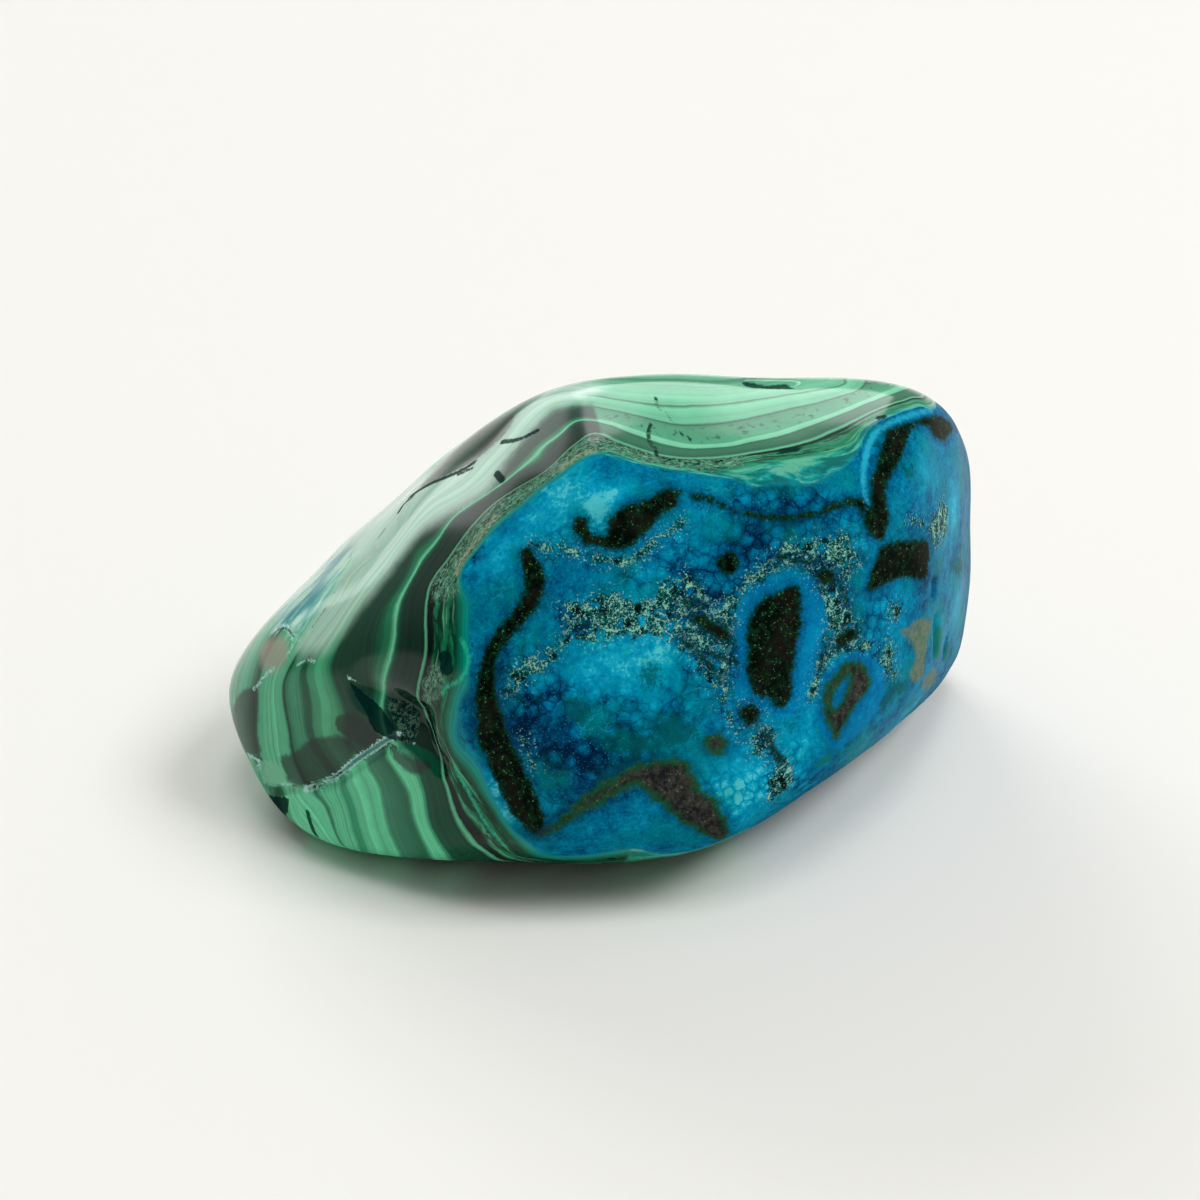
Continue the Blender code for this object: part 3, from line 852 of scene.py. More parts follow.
class Markings:
    """Carries the drawn markings onto the skin of the stone and keeps them as fields."""

    OUTLINE_STEP = 5.0       # spacing of the points on an outline, in sight units
    BAND_STEP = 16.0         # the same on a growth line
    SIGHT_UNIT = 0.135 * MM  # what one sight unit spans at the stone
    REACH = 6 * MM           # depths are measured no further than this
    SOFTNESS = 3 * MM        # how softly the growth levels turn at their growth lines
    GIVE = 0.02 * MM         # how far the levels may miss a growth line, which keeps them calm
    EDGE_ON = (0.05, 0.11)   # the strip that the camera just sees, by how squarely it is faced
    WRAP = 4 * MM            # how far a marking runs on past that strip
    CHUNKS = 80              # parts that long sums are split into, to save memory
    PLAIN_TONE = 0.42        # the blue between the pools

    def __init__(self, form: StoneForm, camera: SightCamera, points: np.ndarray, normals: np.ndarray) -> None:
        """Prepare the skin.

        Args:
            form: the form that the lines of sight meet.
            camera: the camera that the outlines are drawn for.
            points: the skin's points, in metres.
            normals: the outward direction at each.
        """
        self.form = form
        self.camera = camera
        self.points = points
        self.sights = camera.sights(points)
        self.past, self.edge = self.past_outline(camera.turned(points, normals))
        self.fields: Dict[str, np.ndarray] = {}

    @staticmethod
    def eased(path: Sequence[Sight], closed: bool, step: float) -> np.ndarray:
        """Run a smooth curve through given points.

        Args:
            path: the points.
            closed: whether the last joins the first.
            step: the spacing of the points on the curve, in sight units.

        Returns:
            The points on the curve.
        """
        corners = np.array(path, dtype=float)
        count = len(corners)
        if closed:
            guides = np.concatenate((corners[-1:], corners, corners[:2]))
        else:
            guides = np.concatenate((corners[:1], corners, corners[-1:]))
        pieces: List[np.ndarray] = []
        for before, start, end, after in zip(guides, guides[1:], guides[2:], guides[3:]):
            parts = max(1, int(round(np.linalg.norm(end - start) / step)))
            share = (np.arange(parts) / parts)[:, None]
            bend = (2 * start + (end - before) * share
                    + (2 * before - 5 * start + 4 * end - after) * share ** 2
                    + (3 * start - before - 3 * end + after) * share ** 3)
            pieces.append(bend / 2)
        pieces.append(corners[:1] if closed else corners[-1:])
        return np.concatenate(pieces)

    def on_stone(self, sights: np.ndarray) -> np.ndarray:
        """Carry places in the sight frame along the lines of sight onto the stone."""
        return self.form.meet(self.camera.eye, self.camera.rays(sights))[0]

    def enclosed(self, outline: np.ndarray) -> np.ndarray:
        """Find the points inside a closed outline, on the side that faces the camera.

        Args:
            outline: the closed outline in the sight frame.

        Returns:
            A true or false for each point of the skin.
        """
        inside = np.zeros(len(self.points), dtype=bool)
        across, down = self.sights[:, 0], self.sights[:, 1]
        for (x0, y0), (x1, y1) in zip(outline[:-1], outline[1:]):
            if y0 == y1:
                continue
            crosses = (y0 > down) != (y1 > down)
            inside ^= crosses & (across < (x1 - x0) * (down - y0) / (y1 - y0) + x0)
        return inside & (self.past == 0.0)

    def past_outline(self, turned: np.ndarray) -> Tuple[np.ndarray, np.ndarray]:
        """Measure how far the points that the camera can't see well lie past the stone's outline.

        Args:
            turned: how squarely each point faces the camera, from -1 to 1.

        Returns:
            For each point its distance past the edge in metres, zero where it is well seen, and
            the nearest point of the edge.
        """
        low, high = self.EDGE_ON
        hidden = np.flatnonzero(turned < low)
        rim = np.flatnonzero((turned >= low) & (turned < high))
        past = np.zeros(len(self.points))
        edge = np.arange(len(self.points))
        for part in np.array_split(hidden, self.CHUNKS):
            gaps = ((self.points[part][:, None, :] - self.points[rim][None, :, :]) ** 2).sum(axis=2)
            edge[part] = rim[gaps.argmin(axis=1)]
            past[part] = np.sqrt(gaps.min(axis=1))
        return past, edge

    def nearest(self, path: np.ndarray) -> np.ndarray:
        """Measure the skin's distance to a line that lies on the stone.

        Args:
            path: points of the line on the stone.

        Returns:
            One distance for each point of the skin, no more than the reach.
        """
        middle = np.nanmean(path, axis=0)
        extent = np.nanmax(np.linalg.norm(path - middle, axis=1)) + self.REACH
        close = np.linalg.norm(self.points - middle, axis=1) < extent
        gaps = np.full(len(self.points), self.REACH)
        gaps[close] = np.minimum(distance_to_path(self.points[close], path), self.REACH)
        return gaps

    def keep_deepest(self, mark: Mark, depth: np.ndarray) -> None:
        """Add a marking to its field, where it reaches deeper than what is there.

        A marking at the edge of the seen side runs on over the edge and fades out.

        Args:
            mark: the kind of marking.
            depth: how far inside the marking each point lies, in metres.
        """
        depth = np.where(self.past > 0.0, np.minimum(depth[self.edge], self.WRAP - self.past), depth)
        held = self.fields.get(mark.value, np.full(len(self.points), -self.REACH))
        self.fields[mark.value] = np.maximum(held, depth)

    def draw_patch(self, patch: Patch) -> None:
        """Draw a closed marking.

        Args:
            patch: the marking.
        """
        depth = self.depth_inside(patch.outline)
        if patch.inner:
            depth = np.minimum(depth, -self.depth_inside(patch.inner))
        self.keep_deepest(patch.mark, depth)

    def depth_inside(self, outline: Sequence[Sight]) -> np.ndarray:
        """Measure how far inside an outline each point lies.

        Args:
            outline: the given outline.

        Returns:
            Depths in metres, negative outside.
        """
        curve = self.eased(outline, True, self.OUTLINE_STEP)
        edge, met = self.form.meet(self.camera.eye, self.camera.rays(curve))
        gaps = self.nearest(np.where(met[:, None], edge, np.nan))
        return np.where(self.enclosed(curve), gaps, -gaps)

    def draw_streak(self, streak: Streak) -> None:
        """Draw a marking along a line."""
        curve = self.eased(streak.path, False, self.OUTLINE_STEP)
        self.keep_deepest(streak.mark, streak.half_width - self.nearest(self.on_stone(curve)))

    def draw_spot(self, spot: Spot) -> None:
        """Draw a round marking.

        Args:
            spot: the marking.
        """
        centre = self.on_stone(np.array([spot.centre], dtype=float))[0]
        gaps = np.linalg.norm(self.points - centre, axis=1)
        self.keep_deepest(spot.mark, np.maximum(spot.radius - gaps, -self.REACH))

    def beyond_ridge(self) -> np.ndarray:
        """Measure how far each point lies to the right of the upright plane through the ridge.

        Returns:
            Distances in metres, negative on the left.
        """
        back, front = self.on_stone(np.array(RIDGE, dtype=float))
        across = np.cross(back - front, (0.0, 0.0, 1.0))
        return (self.points - front) @ (across / np.linalg.norm(across))

    def draw_bands(self) -> None:
        """Spread the growth levels smoothly over the whole skin."""
        places: List[np.ndarray] = []
        levels: List[float] = []
        for band in BANDS:
            curve = self.eased(band.path, False, self.BAND_STEP)
            places.append(self.on_stone(curve))
            levels.extend([band.level] * len(curve))
        places.append(np.array([anchor.place for anchor in ANCHORS]))
        levels.extend(anchor.level for anchor in ANCHORS)
        knots = np.concatenate(places)
        gaps = np.linalg.norm(knots[:, None, :] - knots[None, :, :], axis=2)
        kernel = np.sqrt(gaps ** 2 + self.SOFTNESS ** 2) + np.eye(len(knots)) * -self.GIVE
        weights = np.linalg.solve(kernel, np.array(levels))
        level = np.zeros(len(self.points))
        for chunk in np.array_split(np.arange(len(self.points)), self.CHUNKS):
            reach = np.linalg.norm(self.points[chunk][:, None, :] - knots[None, :, :], axis=2)
            level[chunk] = np.sqrt(reach ** 2 + self.SOFTNESS ** 2) @ weights
        self.fields["band"] = level

    def draw_tone(self) -> None:
        """Lay the soft lighter and deeper pools of blue, with painted highlights and painted reflection among
        them.
        """
        tone = np.full(len(self.points), self.PLAIN_TONE)
        for glow in GLOWS:
            centre = self.on_stone(np.array([glow.centre], dtype=float))[0]
            reach = glow.radius * self.SIGHT_UNIT
            tone = tone + glow.strength * np.exp(-((self.points - centre) ** 2).sum(axis=1) / (reach * reach))
        self.fields["tone"] = tone

    def draw_all(self) -> Dict[str, np.ndarray]:
        """Draw every marking.

        Returns:
            The fields by name; depths are in millimetres.
        """
        for patch in PATCHES:
            self.draw_patch(patch)
        for streak in STREAKS:
            self.draw_streak(streak)
        for spot in SPOTS:
            self.draw_spot(spot)
        drawn = {name: values / MM for name, values in self.fields.items()}
        self.fields = drawn
        self.fields["top"] = self.beyond_ridge() / MM
        self.draw_bands()
        self.draw_tone()
        return self.fields


# ---- the skin as a mesh ---------------------------------------------------------------------


@dataclass
class StoneSkin:
    """The stone as one closed mesh, finer where it is seen from the front and round its flaws."""

    form: StoneForm
    camera: SightCamera
    cells: Tuple[int, int, int] = (64, 36, 38)
    front_cuts: int = 2
    front_limit: float = -0.08
    flaw_cuts: int = 1
    flaw_reach: float = 1.0 * MM
    narrow_flaw: float = 1.4 * MM
    crease: float = 50.0
    edge_on: float = 0.18
    edge_on_shade: float = 0.45
    smoothing_rounds: int = 24
    turning: float = 0.2

    def rule(self, block: bpy.types.Object) -> None:
        """Divide the plain block into its even starting cells.

        Args:
            block: the two-unit cube.
        """
        for axis, count in enumerate(self.cells):
            places = rows(block.data.vertices, "co")
            ends = np.zeros(len(block.data.edges) * 2, dtype=np.int32)
            block.data.edges.foreach_get("vertices", ends)
            span = np.abs(places[ends[0::2], axis] - places[ends[1::2], axis])
            self.select(block, "EDGE", span > 0.5)
            bpy.ops.mesh.subdivide(number_cuts=count - 1)
            bpy.ops.object.mode_set(mode="OBJECT")

    @staticmethod
    def select(block: bpy.types.Object, kind: str, wanted: np.ndarray) -> None:
        """Select faces or edges by code and go to edit mode.

        Args:
            block: the mesh object.
            kind: FACE or EDGE.
            wanted: a true or false for each.
        """
        bpy.ops.object.mode_set(mode="EDIT")
        bpy.ops.mesh.select_mode(type=kind)
        bpy.ops.mesh.select_all(action="DESELECT")
        bpy.ops.object.mode_set(mode="OBJECT")
        group = block.data.polygons if kind == "FACE" else block.data.edges
        group.foreach_set("select", wanted)
        bpy.ops.object.mode_set(mode="EDIT")

    def split(self, block: bpy.types.Object, wanted: np.ndarray, cuts: int) -> None:
        """Split chosen cells of the block.

        Args:
            block: the cube being worked.
            wanted: a true or false for each cell.
            cuts: how many cuts along each side of a cell.
        """
        self.select(block, "FACE", wanted)
        bpy.ops.mesh.subdivide(number_cuts=cuts)
        bpy.ops.object.mode_set(mode="OBJECT")

    def in_front(self, block: bpy.types.Object) -> np.ndarray:
        """Find the cells of the block that face the camera."""
        points, outward = self.form.ground(rows(block.data.polygons, "center"))
        return self.camera.turned(points, outward) > self.front_limit

    def by_a_flaw(self, block: bpy.types.Object) -> np.ndarray:
        """Find the cells beside a narrow flaw.

        Args:
            block: the cube being worked.

        Returns:
            A true or false for each cell.
        """
        points = self.form.ground(rows(block.data.polygons, "center"))[0]
        gaps = np.full(len(points), FAR)
        for flaw in FLAWS:
            if flaw.half_width <= self.narrow_flaw:
                gaps = np.minimum(gaps, distance_to_path(points, np.array(flaw.path)) - flaw.half_width)
        return gaps < self.flaw_reach

    def make(self, centre: Point) -> bpy.types.Object:
        """Make the fine skin.

        Args:
            centre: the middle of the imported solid, to stand on the same place.

        Returns:
            The stone, with its place in its mesh.
        """
        bpy.ops.object.select_all(action="DESELECT")
        bpy.ops.mesh.primitive_cube_add(size=2.0, location=(0.0, 0.0, 0.0))
        block = bpy.context.active_object
        block.name = "chrysocolla_freeform"
        block.data.name = "chrysocolla_freeform"
        self.rule(block)
        self.split(block, self.in_front(block), self.front_cuts)
        self.split(block, self.by_a_flaw(block), self.flaw_cuts)
        points = self.form.skin(rows(block.data.vertices, "co"))
        middle = (points.min(axis=0) + points.max(axis=0)) / 2
        points[:, :2] += np.array(centre)[:2] - middle[:2]
        block.data.vertices.foreach_set("co", points.reshape(-1))
        block.data.update()
        bpy.ops.object.select_all(action="DESELECT")
        block.select_set(True)
        bpy.context.view_layer.objects.active = block
        bpy.ops.object.shade_smooth_by_angle(angle=radians(self.crease))
        return block

    def evened(self, mesh: bpy.types.Mesh, values: np.ndarray, share: np.ndarray) -> np.ndarray:
        """Smooth a marking's ragged edge where the stone turns away from the camera.

        Args:
            mesh: the skin.
            values: the marking's depth at every point.
            share: how strongly each point is smoothed, from 0 to 1.

        Returns:
            The smoothed depths.
        """
        flat = np.zeros(len(mesh.edges) * 2, dtype=np.int64)
        mesh.edges.foreach_get("vertices", flat)
        one, two = flat[0::2], flat[1::2]
        total = len(mesh.vertices)
        count = np.bincount(one, minlength=total) + np.bincount(two, minlength=total)
        for _ in range(self.smoothing_rounds):
            near = np.bincount(one, values[two], total) + np.bincount(two, values[one], total)
            values = values + share * (near / count - values)
        return values

    def mark(self, block: bpy.types.Object) -> None:
        """Draw every marking on the finished skin.

        Args:
            block: the stone.
        """
        mesh = block.data
        points = rows(mesh.vertices, "co")
        normals = rows(mesh.vertex_normals, "vector")
        turned = self.camera.turned(points, normals)
        fields = Markings(self.form, self.camera, points, normals).draw_all()
        for mark in Mark:
            if mark.value in fields:
                limit = self.edge_on_shade if mark is Mark.SHADE else self.edge_on
                grazing = np.clip((limit - turned) / (limit * 0.5), 0.0, 1.0)
                fields[mark.value] = self.evened(mesh, fields[mark.value], grazing)
        fields["hidden"] = np.clip(0.5 - turned / self.turning, 0.0, 1.0)
        for name, values in fields.items():
            layer = mesh.attributes.new(name=name, type="FLOAT", domain="POINT")
            layer.data.foreach_set("value", np.ascontiguousarray(values, dtype=np.float32))


# ---- shader maths ---------------------------------------------------------------------------


class Wire:
    """The output of a node, which can be used in sums like a number."""

    def __init__(self, bench: "Bench", socket: bpy.types.NodeSocket) -> None:
        """Keep the socket and the bench that it belongs to."""
        self.bench = bench
        self.socket = socket

    def __add__(self, other: "Value") -> "Wire":
        """Add."""
        return self.bench.maths("ADD", self, other)

    def __radd__(self, other: "Value") -> "Wire":
        """Add, with the number first."""
        return self.bench.maths("ADD", other, self)

    def __sub__(self, other: "Value") -> "Wire":
        """Take away."""
        return self.bench.maths("SUBTRACT", self, other)

    def __rsub__(self, other: "Value") -> "Wire":
        """Take away from a number."""
        return self.bench.maths("SUBTRACT", other, self)

    def __mul__(self, other: "Value") -> "Wire":
        """Multiply."""
        return self.bench.maths("MULTIPLY", self, other)

    def __rmul__(self, other: "Value") -> "Wire":
        """Multiply, with the number first."""
        return self.bench.maths("MULTIPLY", other, self)

    def above(self, limit: float, blur: float) -> "Wire":
        """Go softly from 0 to 1 at a limit, with a blur on each side of it."""
        return self.bench.step(self, limit - blur, limit + blur)

    def below(self, limit: float, blur: float) -> "Wire":
        """Go softly from 1 to 0 at a limit, with a blur on each side of it."""
        return self.bench.step(self, limit + blur, limit - blur)

    def between(self, low: float, high: float, blur: float) -> "Wire":
        """Be 1 inside a range and 0 outside it, softly."""
        return self.above(low, blur) * self.below(high, blur)


Value = Union[Wire, float]
Feed = Union[Wire, float, Tuple[float, ...]]
MIX_SHARE, MIX_BASE, MIX_OVER = 0, 6, 7  # the sockets of a Mix node that mixes colours
MIX_RESULT = 2


class Bench:
    """Lays out the nodes of one material."""

    def __init__(self, tree: bpy.types.NodeTree) -> None:
        """Keep the node tree."""
        self.tree = tree

    def node(self, kind: str, settings: Dict[str, object],
             feeds: Dict[Union[str, int], Feed]) -> bpy.types.Node:
        """Add a node.

        Args:
            kind: the node's type.
            settings: its settings, set first; stops are a ramp's positions and colours.
            feeds: a value or a link for each socket, by name or number.

        Returns:
            The node.
        """
        made = self.tree.nodes.new(kind)
        for key, setting in settings.items():
            if key == "stops":
                self.set_stops(made.color_ramp, setting)
            else:
                setattr(made, key, setting)
        for key, feed in feeds.items():
            socket = made.inputs[key]
            if isinstance(feed, Wire):
                self.tree.links.new(feed.socket, socket)
            else:
                socket.default_value = feed
        return made

    @staticmethod
    def set_stops(ramp: bpy.types.ColorRamp, stops: Sequence[Tuple[float, Colour]]) -> None:
        """Give a ramp its stops.

        Args:
            ramp: the ramp.
            stops: positions from 0 to 1, with their colours.
        """
        while len(ramp.elements) < len(stops):
            ramp.elements.new(1.0)
        for element, (position, colour) in zip(ramp.elements, stops):
            element.position = position
            element.color = colour

    def maths(self, operation: str, *parts: Value) -> Wire:
        """Add a Math node for an operation on values or links, and give its result."""
        made = self.node("ShaderNodeMath", {"operation": operation}, dict(enumerate(parts)))
        return Wire(self, made.outputs[0])

    def step(self, value: Wire, low: float, high: float) -> Wire:
        """Add a soft step from 0 at one limit to 1 at the other.

        Args:
            value: what is measured.
            low: where the step is 0.
            high: where the step is 1.

        Returns:
            The step.
        """
        backwards = low > high
        first, last = (high, low) if backwards else (low, high)
        made = self.node("ShaderNodeMapRange", {"interpolation_type": "SMOOTHSTEP"}, {
            "Value": value, "From Min": first, "From Max": last,
            "To Min": 1.0 if backwards else 0.0, "To Max": 0.0 if backwards else 1.0})
        return Wire(self, made.outputs[0])

    def field(self, name: str) -> Wire:
        """Read one of the skin's fields by its name."""
        made = self.node("ShaderNodeAttribute", {"attribute_name": name, "attribute_type": "GEOMETRY"}, {})
        return Wire(self, made.outputs["Fac"])

    def place(self) -> Wire:
        """Give the place on the stone in millimetres."""
        coordinates = Wire(self, self.node("ShaderNodeTexCoord", {}, {}).outputs["Object"])
        scaled = self.node("ShaderNodeVectorMath", {"operation": "SCALE"}, {0: coordinates, "Scale": 1 / MM})
        return Wire(self, scaled.outputs[0])

    def height(self) -> Wire:
        """Give the height on the stone in millimetres."""
        split = self.node("ShaderNodeSeparateXYZ", {}, {0: self.place()})
        return Wire(self, split.outputs[2])

    def shifted(self, place: Wire, shift: Point) -> Wire:
        """Move a place, so that a pattern is read from another part of its noise."""
        made = self.node("ShaderNodeVectorMath", {"operation": "ADD"}, {0: place, 1: shift})
        return Wire(self, made.outputs[0])

    def warped(self, place: Wire, scale: float, reach: float) -> Wire:
        """Push a place about with noise.

        Args:
            place: the place.
            scale: the noise's scale.
            reach: how far it is pushed.

        Returns:
            The pushed place.
        """
        made = self.node("ShaderNodeTexNoise", {}, {"Vector": place, "Scale": scale, "Detail": 2.0})
        push = self.node("ShaderNodeVectorMath", {"operation": "MULTIPLY_ADD"}, {
            0: Wire(self, made.outputs["Color"]), 1: (reach * 2,) * 3, 2: place})
        return Wire(self, push.outputs[0])

    def noise(self, place: Wire, scale: float, detail: float = 2.0, roughness: float = 0.5) -> Wire:
        """Read soft noise from -0.5 to 0.5.

        Args:
            place: the place.
            scale: how many features to a millimetre.
            detail: how many finer layers.
            roughness: how strong the finer layers are.

        Returns:
            The noise.
        """
        made = self.node("ShaderNodeTexNoise", {}, {
            "Vector": place, "Scale": scale, "Detail": detail, "Roughness": roughness})
        return Wire(self, made.outputs["Fac"]) - 0.5

    def along(self, place: Wire, level: Wire, slow: float, quick: float) -> Wire:
        """Give a place for noise that runs in streaks along the growth bands.

        Args:
            place: the place in millimetres.
            level: the growth level.
            slow: the scale along the bands.
            quick: the scale across them.

        Returns:
            The place.
        """
        made = self.node("ShaderNodeVectorMath", {"operation": "SCALE"}, {0: place, "Scale": slow})
        across = self.node("ShaderNodeCombineXYZ", {}, {
            0: level * quick, 1: level * quick, 2: level * -quick})
        both = self.node("ShaderNodeVectorMath", {"operation": "ADD"}, {
            0: Wire(self, made.outputs[0]), 1: Wire(self, across.outputs[0])})
        return Wire(self, both.outputs[0])

    def lines(self, level: Wire, scale: float, detail: float) -> Wire:
        """Read noise from -0.5 to 0.5 along one value, which gives stripes.

        Args:
            level: the value.
            scale: how many stripes to a unit.
            detail: how many finer layers.

        Returns:
            The stripes.
        """
        made = self.node("ShaderNodeTexNoise", {"noise_dimensions": "1D"}, {
            "W": level, "Scale": scale, "Detail": detail, "Roughness": 0.6})
        return Wire(self, made.outputs["Fac"]) - 0.5

    def cells(self, place: Wire, scale: float, feature: str) -> Tuple[Wire, Wire]:
        """Read a pattern of cells.

        Args:
            place: the place.
            scale: how many cells to a millimetre.
            feature: F1 for the distance to the middles, or DISTANCE_TO_EDGE.

        Returns:
            The distance, and for F1 a number of its own for each cell.
        """
        made = self.node("ShaderNodeTexVoronoi", {"feature": feature}, {"Vector": place, "Scale": scale})
        if feature == "DISTANCE_TO_EDGE":
            distance = Wire(self, made.outputs["Distance"])
            return distance, distance
        split = self.node("ShaderNodeSeparateColor", {}, {0: Wire(self, made.outputs["Color"])})
        return Wire(self, made.outputs["Distance"]), Wire(self, split.outputs[0])

    def ramp(self, value: Wire, stops: Sequence[Tuple[float, Colour]]) -> Wire:
        """Turn a value from 0 to 1 into a colour, by stops of position and colour."""
        made = self.node("ShaderNodeValToRGB", {"stops": stops}, {0: value})
        return Wire(self, made.outputs[0])

    def mixed(self, share: Value, base: Feed, over: Feed) -> Wire:
        """Lay one colour over another.

        Args:
            share: how much of the upper colour shows.
            base: the lower colour.
            over: the upper colour.

        Returns:
            The colour.
        """
        made = self.node("ShaderNodeMix", {"data_type": "RGBA"}, {
            MIX_SHARE: share, MIX_BASE: base, MIX_OVER: over})
        return Wire(self, made.outputs[MIX_RESULT])

    def lit(self, colour: Feed, strength: Wire) -> Wire:
        """Make a colour lighter or darker by a strength."""
        made = self.node("ShaderNodeVectorMath", {"operation": "SCALE"}, {0: colour, "Scale": strength})
        return Wire(self, made.outputs[0])


# ---- the finish -----------------------------------------------------------------------------

LEVELS = 32.0            # the growth levels that the rows of bands cover


def banded(stops: Levels) -> List[Tuple[float, Colour]]:
    """Write growth levels with their screen colours as the stops of a ramp."""
    return [(level / LEVELS, paint(*colour)) for level, colour in stops]


@dataclass(frozen=True)
class PolishedStone:
    """Polished chrysocolla with malachite: the colours, gloss and grain of every marking."""

    name: str = "polished_chrysocolla_malachite"
    side_bands: Levels = (
        (0.0, (0, 128, 138)), (0.4, (0, 142, 122)), (0.8, (2, 100, 76)), (1.2, (2, 60, 42)),
        (3.0, (6, 72, 48)), (3.3, (4, 18, 14)), (3.92, (4, 18, 14)), (4.05, (96, 184, 140)),
        (4.2, (96, 184, 140)), (4.35, (16, 48, 37)), (7.2, (18, 54, 41)), (7.7, (22, 92, 64)),
        (7.85, (106, 204, 156)), (8.05, (106, 204, 156)), (8.2, (40, 132, 92)), (8.7, (22, 92, 64)),
        (9.2, (28, 66, 51)), (12.3, (32, 72, 56)), (13.0, (44, 130, 90)), (14.2, (84, 182, 134)),
        (16.5, (62, 160, 114)), (17.0, (16, 78, 54)), (17.8, (24, 98, 68)), (18.3, (70, 162, 120)),
        (19.5, (46, 134, 96)), (19.9, (8, 42, 30)), (20.2, (84, 184, 138)), (22.0, (100, 198, 152)),
        (23.6, (80, 178, 134)), (24.4, (30, 84, 62)), (26.5, (96, 188, 146)), (32.0, (60, 140, 106)))
    # The bands at the foot: their own stripe order, with colours painted lighter as painted light for the
    # down-facing foot, which gets little light.
    foot_bands_with_painted_light: Levels = (
        (0.0, (0, 152, 157)), (0.5, (22, 179, 148)), (1.1, (9, 137, 101)), (1.6, (0, 88, 61)),
        (2.9, (7, 108, 76)), (3.1, (101, 197, 150)), (3.3, (13, 36, 27)), (3.9, (13, 34, 26)),
        (4.05, (112, 211, 164)), (4.25, (78, 175, 132)), (4.5, (4, 65, 44)), (7.0, (8, 84, 59)),
        (7.4, (67, 175, 128)), (7.8, (110, 220, 168)), (8.8, (94, 204, 152)), (9.3, (34, 108, 78)),
        (12.3, (67, 139, 108)), (12.9, (103, 213, 161)), (16.4, (112, 220, 170)), (16.9, (49, 141, 103)),
        (17.6, (58, 155, 114)), (18.1, (108, 215, 166)), (19.7, (99, 206, 157)), (19.95, (19, 69, 50)),
        (20.2, (108, 215, 166)), (23.8, (114, 222, 172)), (24.8, (52, 88, 74)), (32.0, (42, 80, 65)))
    # The bands on the upward top: their own stripe order, with colours painted paler as a painted reflection
    # of the bright room above.
    top_bands_with_painted_sky: Levels = (
        (0.0, (0, 148, 150)), (0.7, (0, 150, 132)), (1.3, (40, 160, 128)), (1.7, (40, 132, 98)),
        (2.9, (76, 160, 124)), (3.4, (12, 34, 26)), (3.8, (26, 56, 42)), (4.05, (110, 195, 155)),
        (4.4, (90, 172, 134)), (4.7, (50, 104, 80)), (6.2, (66, 126, 98)), (7.3, (54, 110, 84)),
        (7.6, (120, 205, 164)), (8.4, (128, 210, 170)), (8.8, (84, 170, 132)), (11.0, (76, 158, 120)),
        (12.4, (70, 148, 112)), (12.8, (36, 86, 64)), (13.1, (96, 188, 146)), (15.6, (112, 200, 158)),
        (15.85, (48, 112, 84)), (16.1, (112, 200, 158)), (18.6, (100, 186, 146)), (19.0, (64, 136, 104)),
        (19.4, (110, 196, 156)), (22.0, (92, 180, 138)), (24.0, (52, 122, 90)), (26.0, (100, 188, 146)),
        (29.0, (44, 104, 78)), (32.0, (80, 164, 124)))
    blues: Tuple[Tuple[float, Colour], ...] = (
        (0.0, paint(0, 30, 60)), (0.22, paint(0, 68, 106)), (0.45, paint(0, 110, 150)),
        (0.7, paint(0, 148, 186)), (0.9, paint(24, 178, 208)), (1.0, paint(84, 204, 216)))
    turquoise: Colour = paint(0, 140, 138)
    azure: Colour = paint(0, 124, 186)
    cyan: Colour = paint(40, 176, 206)
    shadow_blue: Colour = paint(0, 52, 96)
    black_green: Colour = paint(5, 12, 8)
    umber: Colour = paint(30, 24, 20)
    deep_green: Colour = paint(14, 46, 26)
    edge_green: Colour = paint(6, 60, 44)
    spark: Colour = paint(96, 150, 96)
    brown: Colour = paint(26, 31, 31)
    brown_grey: Colour = paint(62, 59, 57)
    khaki: Colour = paint(22, 84, 50)
    olive: Colour = paint(112, 126, 98)
    teal: Colour = paint(4, 78, 78)
    lace_ground: Colour = paint(0, 82, 76)
    lace_hole: Colour = paint(0, 14, 14)
    lace_pale: Colour = paint(146, 210, 188)
    crack_dark: Colour = paint(2, 38, 38)
    crack_teal: Colour = paint(10, 116, 106)
    rim_teal: Colour = paint(40, 190, 150)
    lining: Colour = paint(186, 238, 230)
    cream: Colour = paint(176, 190, 156)
    shade: Colour = paint(32, 46, 40)
    pale: Colour = paint(120, 200, 160)
    frost: Colour = paint(196, 238, 216)
    mid_green: Colour = paint(24, 124, 84)
    zone_dark: Colour = paint(2, 44, 28)
    grain_green: Colour = paint(104, 148, 124)
    mottle: Colour = paint(84, 196, 184)
    sea: Colour = paint(0, 116, 152)
    # the colour of the pinkish grey oval on the tip
    pink_grey_oval: Colour = paint(182, 168, 156)
    grit: Colour = paint(80, 116, 98)
    stone_gloss: float = 0.16
    stone_refraction: float = 1.45
    stone_shine: float = 0.0
    polish: float = 0.12
    polish_refraction: float = 1.36
    blue_polish: float = 0.06
    worn_polish: float = 0.35
    sheen: float = 0.16
    worn_foot: Tuple[float, float] = (4.0, 26.0)
    relief: float = 0.06 * MM
    relief_strength: float = 0.6
    lace_roughness: float = 0.22
    broken_roughness: float = 0.4
    hidden_swell: float = 14.0
    hidden_fade: float = 12.0
    rim_zone: Tuple[float, float] = (-0.2, 1.3)
    grain_zone: Tuple[float, float] = (0.5, 3.9)
    streaky_zone: Tuple[float, float] = (1.2, 3.3)
    pitted_zone: Tuple[float, float] = (2.7, 3.9)
    flecked_zone: Tuple[float, float] = (9.2, 12.4)

